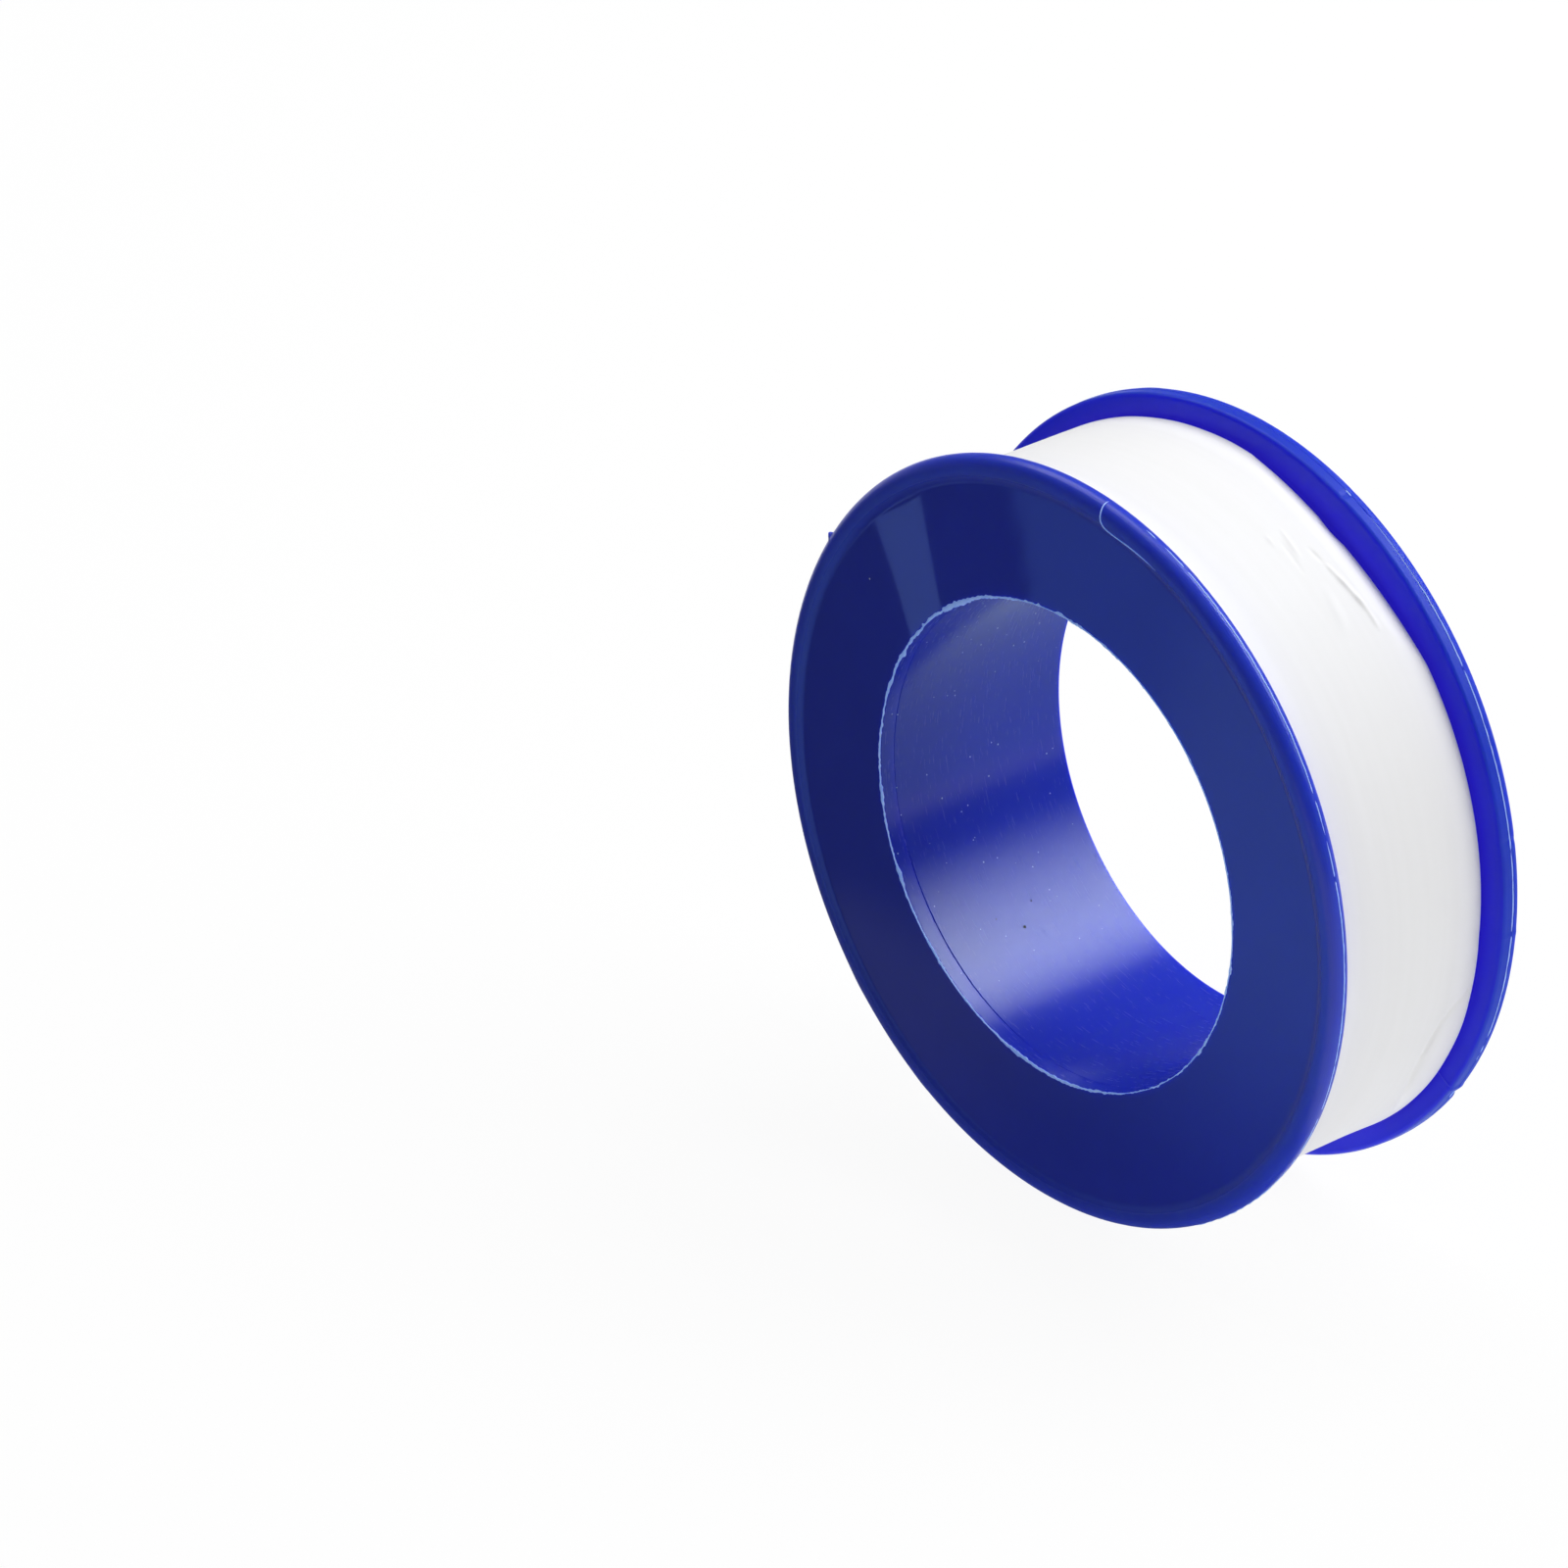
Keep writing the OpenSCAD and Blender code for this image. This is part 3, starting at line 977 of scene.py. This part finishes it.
film = {
    "width": coreHigh.y - coreLow.y,
    "thickness": 0.075 * mm,
    "layGap": 0.03 * mm,
    "stray": 0.15 * mm,
    "coreRadius": coreHigh.z,
    "peelDeg": math.degrees(math.atan2(peelJoint["pos_m"][2], peelJoint["pos_m"][0])),
    "joinDeg": 128.0,
    "endLength": 22 * mm,
    "curlLength": 6.5 * mm,
    "tipGap": 2 * mm,
    "tipCurl": 0.45 * mm,
    "edgeDroop": 0.03 * mm,
    "edgeRound": 0.18 * mm,
    "alongStep": 0.9,
    "fineRanges": [(44, 71, 0.24), (-48, -8, 0.5)],
    "ragged": 0.03 * mm,
    "tearDeg": 4,
}
film["outerRadius"] = film["coreRadius"] + 2 * film["thickness"] + film["layGap"]


def turnFor(length):
    # Degrees that a length of film covers on the outside of the winding
    return math.degrees(length / film["outerRadius"])


film["tipDeg"] = film["peelDeg"] + turnFor(film["endLength"])
film["turnStartDeg"] = film["tipDeg"] + turnFor(film["tipGap"]) - 360
film["curlDeg"] = film["tipDeg"] - turnFor(film["curlLength"])

# How the layers sit: stretches of edge that sag or stand up, short creases, and waves along the winding.
# side is +1 at the marked flange, depth is outwards at the very edge, and reach is how far in it begins
slack = {
    "fullness": 0.12 * mm,
    "edges": [
        {"side": 1, "deg": 62, "half": 22, "depth": -0.6 * mm, "reach": 1.9 * mm},
        {"side": 1, "deg": 65.5, "half": 3, "depth": -0.12 * mm, "reach": 0.7 * mm},
        {"side": 1, "deg": -29, "half": 26, "depth": 0.26 * mm, "reach": 4.2 * mm},
        {"side": -1, "deg": 20, "half": 30, "depth": -0.15 * mm, "reach": 2.0 * mm},
        {"side": 1, "deg": 170, "half": 22, "depth": -0.25 * mm, "reach": 2.5 * mm},
        {"side": -1, "deg": -120, "half": 26, "depth": 0.2 * mm, "reach": 3.0 * mm},
    ],
    # Each crease is (start angle, start y, end angle, end y, half width, height), lengths in millimetres
    "creases": [
        (59.5, 3.36, 57.7, 3.48, 0.14, 0.06), (57.7, 3.48, 54.4, 3.73, 0.17, 0.12),
        (54.4, 3.73, 51.0, 3.99, 0.18, 0.14), (51.0, 3.99, 47.7, 4.04, 0.16, 0.07),
        (63.1, 3.06, 60.6, 3.22, 0.13, -0.06), (67.9, 2.34, 62.5, 2.07, 0.15, 0.055),
        (68.1, 1.11, 65.6, 1.09, 0.17, 0.05), (66.0, 1.7, 60.0, 1.5, 0.16, -0.04),
        (56.0, 2.1, 49.0, 1.7, 0.35, 0.05), (-5.4, -4.36, -8.0, -4.3, 0.15, 0.07),
        (-11.4, 5.8, -12.6, 5.45, 0.14, -0.16), (-12.6, 5.45, -16.7, 3.96, 0.18, -0.16),
        (-16.7, 3.96, -23.9, 3.39, 0.21, -0.18), (-23.9, 3.39, -32.6, 3.92, 0.24, -0.2),
        (-32.6, 3.92, -42.0, 5.3, 0.27, -0.14), (-6.9, -3.56, -7.5, -3.5, 0.13, -0.07),
    ],
    # Each wave is (length across in millimetres, times it sways in a turn, phase, height in millimetres)
    "waves": [(3.1, 2, 0.4, 0.002), (4.7, -3, 1.9, 0.003), (2.2, 5, 3.0, 0.0012), (7.9, 1, 5.1, 0.006)],
}


def slackAt(deg, y):
    # Outward move of the layers at an angle and a place across, as the sum of all that slack lists
    half = film["width"] / 2
    move = np.full_like(deg + y, slack["fullness"])
    for edge in slack["edges"]:
        window = np.clip(1 - (turnedBy(deg, edge["deg"]) / edge["half"]) ** 2, 0, 1)
        reach = edge["reach"] * np.sqrt(window) + 1e-9
        into = np.clip((reach - (half - edge["side"] * y)) / reach, 0, 1.2)
        move = move + edge["depth"] * window * into ** 1.25
    for startDeg, startY, endDeg, endY, width, height in slack["creases"]:
        along = np.radians(turnedBy(deg, startDeg)) * film["outerRadius"] / mm
        across = y / mm - startY
        runAlong = math.radians(endDeg - startDeg) * film["outerRadius"] / mm
        runAcross = endY - startY
        t = (along * runAlong + across * runAcross) / (runAlong ** 2 + runAcross ** 2)
        t = np.clip(t, 0, 1)
        gap = np.hypot(along - t * runAlong, across - t * runAcross)
        taper = 0.35 + 0.65 * np.sin(np.pi * t)
        move = move + height * mm * taper * np.exp(-(gap / width) ** 2)
    for length, turns, phase, height in slack["waves"]:
        swell = np.sin(2 * np.pi * y / (length * mm) + phase + 0.6 * np.sin(np.radians(turns * deg)))
        move = move + height * mm * swell * (0.6 + 0.4 * np.sin(np.radians(turns * deg) + phase))
    return move


def curlAt(deg):
    # Extra radius of the loose end near its tip, as the square of the way along the curl
    t = np.clip((deg - film["curlDeg"]) / (film["tipDeg"] - film["curlDeg"]), 0, None)
    return film["tipCurl"] * t ** 2


def filmStrip(name, startDeg, endDeg, curled, torn):
    # A strip of film on the winding's spiral: at each angle its section is the outer face and then the
    # inner one, at r = lay radius + slack + curl and y = stray + place across, with its edges rounded down
    f = film
    deg = np.linspace(startDeg, endDeg, math.ceil((endDeg - startDeg) / f["alongStep"]) + 1)
    for low, high, step in f["fineRanges"]:
        inside = (deg > low) & (deg < high)
        if inside.any():
            fine = np.arange(low, high, step)
            deg = np.concatenate((deg[~inside], fine[(fine > startDeg) & (fine < endDeg)]))
    deg = np.unique(deg)[:, None]
    rows = len(deg)
    # Columns stand closest at both edges and on the marked flange's side, where the creases are
    plain = np.linspace(-0.95, 0.13, 22)
    creased = np.linspace(0.15, 0.75, 46)
    outer = np.linspace(0.77, 0.95, 9)
    edge = np.array([0.977, 0.99, 1])
    across = np.concatenate((-edge[::-1], plain, creased, outer, edge))[None, :]
    stray = f["stray"] * np.sin(np.radians(1.5 * (deg - f["turnStartDeg"])))
    ragged = f["ragged"] * np.sin(np.radians(23 * deg)) * np.sin(np.radians(7 * deg + 40))
    y = stray + across * f["width"] / 2 + ragged * across
    lay = f["coreRadius"] + f["layGap"] + f["thickness"] * (deg - f["turnStartDeg"]) / 360
    toEdge = (1 - np.abs(across)) * f["width"] / 2
    droop = -f["edgeDroop"] * np.clip(1 - toEdge / f["edgeRound"], 0, 1) ** 2
    r = lay + slackAt(deg, y - stray) + droop
    if curled:
        r = r + curlAt(deg)
    turn = np.radians(deg) + 0 * across
    if torn is not None:
        share = smooth((deg - (f["tipDeg"] - f["tearDeg"])) / f["tearDeg"])
        turn = np.radians(deg) + share * torn(across)
    section = np.stack((r + f["thickness"], r), axis=0)
    shell = [onTurn(q, y, turn) for q in section]
    points = np.concatenate((shell[0], shell[1][:, ::-1]), axis=1)
    count = points.shape[1]
    length = np.broadcast_to(np.radians(deg) * f["outerRadius"], y.shape)
    uvShell = np.stack((length, y), axis=-1)
    uv = np.concatenate((uvShell, uvShell[:, ::-1]), axis=1).reshape(-1, 2)
    faces = gridFaces(rows, count, False, True)
    k = np.arange(count // 2 - 1)
    firstEnd = np.column_stack((k, k + 1, count - 2 - k, count - 1 - k))
    lastEnd = firstEnd[:, ::-1] + (rows - 1) * count
    points = points.reshape(-1, 3)
    faces = facingOut(points, np.vstack((faces, firstEnd[:, ::-1], lastEnd[:, ::-1])))
    return newPiece(name, points, faces, [filmWhite], uv=uv)


def tornTip(across):
    # Extra angle of the tip's torn edge across the film, in radians: a slanting tear with small teeth
    slant = 0.02 * across - 0.045
    teeth = 0.012 * np.sin(9 * across + 0.5) + 0.007 * np.sin(23 * across) + 0.004 * np.sin(57 * across + 2)
    return slant + teeth


outerTurn = filmStrip("outerTurn", film["turnStartDeg"], film["joinDeg"], False, None)
looseEnd = filmStrip("looseEnd", film["joinDeg"], film["tipDeg"], True, tornTip)

# The wound layers below, whose edges show as fine ridges. climb is how much higher the core ends after one
# turn, and stepDeg the angle over which it falls back
winding = {
    "innerRadius": spool["hubRadius"] + film["layGap"],
    "ridges": 42,
    "ridgeDepth": 0.05 * mm,
    "slackDepth": 2 * mm,
    "climb": 0.092 * mm,
    "stepDeg": 0.08,
    "stepAhead": 0.02,
    "turnSteps": 456,
    "acrossSteps": 44,
}


def makeWinding(own):
    # The core's outline is its two ridged sides, its outer face and its inner one, turned about Y. The outer
    # face and the layers near it follow the same slack as the film on them, and climb in one turn, so that
    # they end level with the inner end of the outermost turn
    half = film["width"] / 2
    radii = np.linspace(own["innerRadius"], film["coreRadius"], 2 * own["ridges"] + 1)
    depth = own["ridgeDepth"] * (np.arange(len(radii)) % 2) * rng.uniform(0.4, 1, len(radii))
    low = np.column_stack((radii, -half + depth))
    y = np.linspace(-half, half, own["acrossSteps"] + 1)[1:-1]
    top = np.column_stack((np.full_like(y, film["coreRadius"]), y))
    high = np.column_stack((radii[::-1], half - depth[::-1]))
    outline = np.vstack((low, top, high))

    lowest = film["turnStartDeg"] % 360 - own["stepAhead"]

    def shift(deg, r, y):
        share = smooth((r - (film["coreRadius"] - own["slackDepth"])) / own["slackDepth"])
        climb = np.interp((deg - lowest) % 360, (0, 360 - own["stepDeg"], 360), (0, own["climb"], 0))
        return r + share * (slackAt(deg, y) + climb), y

    deg = np.arange(own["turnSteps"]) * 360 / own["turnSteps"]
    deg = np.unique(np.concatenate((deg, [lowest - own["stepDeg"], lowest])))
    points, faces = revolved(outline, deg, shift)
    r = np.hypot(points[:, 0], points[:, 2])
    uv = np.column_stack((np.arctan2(points[:, 2], points[:, 0]) * film["outerRadius"], points[:, 1] + r))
    return newPiece("windingCore", points, faces, [filmWhite], uv=uv)


windingCore = makeWinding(winding)

# Every piece rides on the roll, and the first four hide the CAD parts that they stand for

for piece, node, slotName in (
    (spoolPiece, "spool_body", "spool_matte"),
    (plainPiece, "plain_flange", "spool_gloss"),
    (windingCore, "tape_winding", "film"),
    (outerTurn, "tape_outer_turn", "film"),
):
    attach(piece, "roll")
    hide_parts(node)
for piece, slotName in (
    (lipPiece, "spool_gloss"), (strandPiece, "spool_gloss"), (burrPieces[0], "spool_gloss"),
    (burrPieces[1], "spool_matte"), (marksPiece, "spool_matte"),
):
    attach(piece, "roll")

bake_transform(looseEnd)
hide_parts("tape_free_end")

print("pieces ride on their bodies")

# Floor, backdrop, lights and camera

stage = {
    "floorSize": 4.0,
    "floorColour": 0.95,
    "floorShade": 0.12,
    "floorGlow": 0.93,
    "floorRoughness": 0.9,
    # The floor's painted shade: its colour for bounced light is dark at the front left
    "paintedShadeX": (-15 * mm, 25 * mm),
    "paintedShadeY": (-20 * mm, -5 * mm),
    # The floor's painted light: a glow for bounced light behind the plain face
    "paintedBounceShare": 0.35,
    "paintedBounceGlow": 1.45,
    "ambient": (0.22, 0.22, 0.225),
    "domeRadius": 1.9,
    "domeGlow": (0.12, 0.125, 0.14),
}


def addStage(name, points, faces, material):
    # A floor, card or dome, which isn't part of the roll
    mesh = bpy.data.meshes.new(name)
    mesh.from_pydata(points.tolist(), [], faces.tolist())
    mesh.materials.append(material)
    piece = bpy.data.objects.new(name, mesh)
    bpy.context.scene.collection.objects.link(piece)
    return piece


def onlyInGloss(piece):
    # A card or dome that only shows as a reflection
    for kind in ("camera", "diffuse", "transmission", "volume_scatter", "shadow"):
        setattr(piece, "visible_" + kind, False)


def glowMaterial(name, colour):
    # A plain emission of one colour
    material = bpy.data.materials.new(name)
    material.use_nodes = True
    nodes, links = material.node_tree.nodes, material.node_tree.links
    nodes.remove(nodes["Principled BSDF"])
    glow = nodes.new("ShaderNodeEmission")
    glow.inputs["Color"].default_value = (*colour, 1)
    links.new(glow.outputs["Emission"], nodes["Material Output"].inputs["Surface"])
    return material


def seenRays(nodes, links):
    # 1 for a ray from the camera, in gloss or through glass, and 0 for a ray that only carries light
    path = nodes.new("ShaderNodeLightPath")
    seen = path.outputs["Is Camera Ray"]
    for label in ("Is Glossy Ray", "Is Transmission Ray"):
        seen = mathOf(nodes, links, "MAXIMUM", seen, path.outputs[label])
    return seen


def makeFloor(own):
    # White paper that is seen as white. Painted shade: what it bounces falls off to dark at the front left,
    # standing in for dark card lying there
    half, z = own["floorSize"] / 2, cadBox[0].z
    material, nodes, links, shader = nodesOf("floorPaper")
    place = splitPlace(nodes, links, objectPlace(nodes))
    toLeft = mapRange(nodes, links, place["X"], *own["paintedShadeX"], 1.0, 0.0)
    toFront = mapRange(nodes, links, place["Y"], *own["paintedShadeY"], 1.0, 0.0)
    paintedShade = mathOf(nodes, links, "MULTIPLY", toLeft, toFront)
    bouncing = nodes.new("ShaderNodeLightPath").outputs["Is Diffuse Ray"]
    bounced = mathOf(nodes, links, "MULTIPLY", paintedShade, bouncing)
    white, shade = (own["floorColour"],) * 3, (own["floorShade"],) * 3
    links.new(mixColour(nodes, links, bounced, white, shade), shader.inputs["Base Color"])
    shader.inputs["Roughness"].default_value = own["floorRoughness"]
    shader.inputs["Specular IOR Level"].default_value = 0.0
    # Painted light: behind the plain face the paper also glows with a share of light,
    # seen only by rays that carry light
    paintedBounceLit = mapRange(nodes, links, toFront, 0.0, 1.0, own["paintedBounceShare"], 0.0)
    table = mathOf(nodes, links, "MULTIPLY", paintedBounceLit, bouncing)
    glow = nodes.new("ShaderNodeEmission")
    strength = mapRange(nodes, links, bouncing, 0.0, 1.0, 1.0, own["paintedBounceGlow"])
    links.new(strength, glow.inputs["Strength"])
    share = mathOf(nodes, links, "MULTIPLY_ADD", seenRays(nodes, links), own["floorGlow"], table)
    mix = nodes.new("ShaderNodeMixShader")
    links.new(share, mix.inputs["Fac"])
    links.new(shader.outputs["BSDF"], mix.inputs[1])
    links.new(glow.outputs["Emission"], mix.inputs[2])
    links.new(mix.outputs["Shader"], nodes["Material Output"].inputs["Surface"])
    corners = np.array([(-half, -half, z), (half, -half, z), (half, half, z), (-half, half, z)])
    addStage("floor", corners, oneFace, material)


oneFace = np.array([(0, 1, 2, 3)])

# Cards on the floor, as the gloss shows them: dark and strip at the front left, and one behind the roll.
# Corners are (x, y) in millimetres
cards = {
    "dark": {
        "glow": (0.12, 0.14, 0.17),
        "corners": [(-700, -700), (15, -700), (15, -8), (-700, -8)],
    },
    "strip": {
        "glow": (0.38, 0.6, 1.2),
        "corners": [(-79.4, -63.3), (-80.2, -68.4), (-50, -46.6), (-50, -43.6)],
    },
    "behind": {
        "glow": (0.6, 0.75, 0.76),
        "corners": [(-60, 12), (120, 12), (120, 110), (-60, 110)],
    },
}

# The large soft card, in millimetres: a near part below the strip, a brighter one on its right that fades
# towards the roll, and a pale patch beside the roll. A line is (first point, second point, softness), and
# the part is on its right. fade and the patch's ramps are (start, width)
softCard = {
    "corners": ((-150, -160), (30, 0)),
    "step": 1.25,
    "above": 0.25,
    "room": (0.12, 0.14, 0.17),
    "near": (0.24, 0.39, 0.85),
    "nearLine": ((-76.8, -74.8), (-62.9, -63.5), 1.0),
    "bright": (0.35, 0.56, 1.05),
    "brightLine": ((-50, -69), (-41, -57), 9),
    "fade": (-42, 30),
    "pale": (0.25, 0.28, 0.31),
    "paleFromX": (-44, 8),
    "paleFromY": (-28, 8),
    "paleToX": (-26, 24),
}


def sideOf(x, y, first, second, soft):
    # 0 on the left of the line from first to second and 1 on its right, over a width of soft
    dx, dy = second[0] - first[0], second[1] - first[1]
    right = ((x - first[0]) * dy - (y - first[1]) * dx) / math.hypot(dx, dy)
    return smooth(right / soft + 0.5)


def ramp(value, start, width):
    # 0 before start and 1 from start + width on
    return smooth((value - start) / width)


def softGlow(x, y, own):
    # The soft card's glow at each point: each part is laid over the last one by its share
    room, near, bright, pale = (np.array(own[part]) for part in ("room", "near", "bright", "pale"))
    nearShare = sideOf(x, y, *own["nearLine"])
    brightShare = sideOf(x, y, *own["brightLine"])
    fade = 1 - ramp(y, *own["fade"])
    paleShare = ramp(x, *own["paleFromX"]) * ramp(y, *own["paleFromY"]) * (1 - ramp(x, *own["paleToX"]))
    glow = room + nearShare[..., None] * (near - room)
    glow = glow + brightShare[..., None] * (bright - glow)
    glow = room + fade[..., None] * (glow - room)
    return glow + paleShare[..., None] * (pale - glow)


def addPointGlow(card, values):
    # The card's glow read from its points, so that it can change softly across it
    colours = card.data.color_attributes.new("glow", "FLOAT_COLOR", "POINT")
    values = np.concatenate((values, np.ones((*values.shape[:-1], 1))), axis=-1)
    colours.data.foreach_set("color", values.astype(np.float32).ravel())
    tree = card.data.materials[0].node_tree
    read = tree.nodes.new("ShaderNodeAttribute")
    read.attribute_name = "glow"
    tree.links.new(read.outputs["Color"], tree.nodes["Emission"].inputs["Color"])
    onlyInGloss(card)


def makeCards():
    # The plain cards lie a tenth of a millimetre apart above the floor, so that none hides in another
    for level, (label, card) in enumerate(cards.items()):
        name = label + "Card"
        z = cadBox[0].z + (0.2 + 0.1 * level) * mm
        points = np.array([(x * mm, y * mm, z) for x, y in card["corners"]])
        onlyInGloss(addStage(name, points, oneFace, glowMaterial(name, card["glow"])))


def makeSoftCard(own):
    # A level grid of points (x, y), with its glow at each point
    (x0, y0), (x1, y1) = own["corners"]
    x, y = np.meshgrid(np.arange(x0, x1, own["step"]), np.arange(y0, y1, own["step"]), indexing="ij")
    z = np.full_like(x, cadBox[0].z / mm + own["above"])
    points = np.stack((x, y, z), axis=-1).reshape(-1, 3) * mm
    faces = gridFaces(*x.shape, False, False)
    card = addStage("softCard", points, faces, glowMaterial("softCard", (1, 1, 1)))
    addPointGlow(card, softGlow(x, y, own))


def makeDome(own):
    # A half sphere over the floor, facing inwards
    a, h = np.meshgrid(np.linspace(0, 2 * np.pi, 49), np.linspace(0, np.pi / 2, 13), indexing="ij")
    points = np.stack((np.cos(a) * np.cos(h), np.sin(a) * np.cos(h), np.sin(h)), axis=-1).reshape(-1, 3)
    points = points * own["domeRadius"] + [0, 0, cadBox[0].z]
    faces = gridFaces(49, 13, False, False)
    onlyInGloss(addStage("roomDome", points, faces, glowMaterial("roomDome", own["domeGlow"])))


def makeWorld(own):
    # White where it is seen, and a dim even light on the object
    world = bpy.data.worlds.new("studio")
    bpy.context.scene.world = world
    world.use_nodes = True
    nodes, links = world.node_tree.nodes, world.node_tree.links
    ambient = nodes["Background"]
    ambient.inputs["Color"].default_value = (*own["ambient"], 1)
    white = nodes.new("ShaderNodeBackground")
    white.inputs["Color"].default_value = (1, 1, 1, 1)
    mix = nodes.new("ShaderNodeMixShader")
    links.new(seenRays(nodes, links), mix.inputs["Fac"])
    links.new(ambient.outputs["Background"], mix.inputs[1])
    links.new(white.outputs["Background"], mix.inputs[2])
    links.new(mix.outputs["Shader"], nodes["World Output"].inputs["Surface"])


# Sizes are (width square to Y, height) in metres. The key softbox lights the roll, and what the gloss shows
# of it is a card, brightest where its width's share a (-1 to 1) is peak, as a softbox with one bulb is. rise
# and fall are the ramps (start, width) of its glow on both sides of the peak
lamps = {
    "keyBox": {
        "direction": (0.3, 0.54, 0.787), "distance": 0.6, "size": (0.76, 0.3), "radiance": 4.5,
        "inGloss": False,
    },
    "overheadBox": {
        "direction": (-0.5, 0.12, 0.86), "distance": 0.9, "size": (0.8, 0.45), "radiance": 2.6,
        "inGloss": True,
    },
}
keyCard = {
    "direction": (0.385, 0.59, 0.709), "distance": 0.6, "size": (0.76, 0.3), "glow": (6.5, 7.3, 8.8),
    "grid": (33, 9), "peak": -0.2, "rise": (-1.25, 0.9), "fall": (-0.3, 1.5),
}


def lampAxes(direction):
    # Unit vectors across a lamp, up it, and from the roll to it. The first is square to Y
    back = Vector(direction).normalized()
    across = Vector((back.z, 0, -back.x)).normalized()
    return across, back.cross(across), back


def makeSoftbox(name, own):
    # A rectangular area light whose radiance is given: power is radiance * pi * area
    width, height = own["size"]
    light = bpy.data.lights.new(name, "AREA")
    light.shape = "RECTANGLE"
    light.size = width
    light.size_y = height
    light.energy = own["radiance"] * math.pi * width * height
    axes = lampAxes(own["direction"])
    lamp = bpy.data.objects.new(name, light)
    lamp.location = axes[2] * own["distance"]
    lamp.rotation_euler = Matrix(axes).transposed().to_euler()
    lamp.visible_glossy = own["inGloss"]
    bpy.context.scene.collection.objects.link(lamp)


def makeGlossCard(name, own):
    # A grid of points at middle + a * across + b * up, with its glow at each point
    width, height = own["size"]
    across, up, back = lampAxes(own["direction"])
    a, b = np.meshgrid(*(np.linspace(-1, 1, n) for n in own["grid"]), indexing="ij")
    points = np.array(back * own["distance"]) + a[..., None] * np.array(across) * width / 2
    points = points + b[..., None] * np.array(up) * height / 2
    faces = gridFaces(*own["grid"], False, False)
    card = addStage(name, points.reshape(-1, 3), faces, glowMaterial(name, own["glow"]))
    share = np.where(a > own["peak"], 1 - ramp(a, *own["fall"]), ramp(a, *own["rise"]))
    addPointGlow(card, share[..., None] * np.array(own["glow"]))


makeFloor(stage)
makeCards()
makeSoftCard(softCard)
makeDome(stage)
makeWorld(stage)
for name, own in lamps.items():
    makeSoftbox(name, own)
makeGlossCard("keyCard", keyCard)
print("floor, cards and lamps are in place")

# The camera, fitted to the outlines in the photograph
view = {
    "lens": 181.86,
    "sensor": 36,
    "place": Vector((312.68, -300.53, 231.18)) * mm,
    "back": Vector((0.66757, -0.57884, 0.4683)),
    "roll": 0.006,
    "clip": (0.01, 20),
}
cameraData = bpy.data.cameras.new("camera")
cameraData.lens = view["lens"]
cameraData.sensor_width = view["sensor"]
cameraData.clip_start, cameraData.clip_end = view["clip"]
camera = bpy.data.objects.new("camera", cameraData)
camera.location = view["place"]
turned = (-view["back"]).to_track_quat("-Z", "Y") @ Quaternion((0, 0, 1), view["roll"])
camera.rotation_euler = turned.to_euler()
bpy.context.scene.collection.objects.link(camera)
bpy.context.scene.camera = camera
bpy.context.scene.view_settings.view_transform = "Standard"

print("scene is ready")
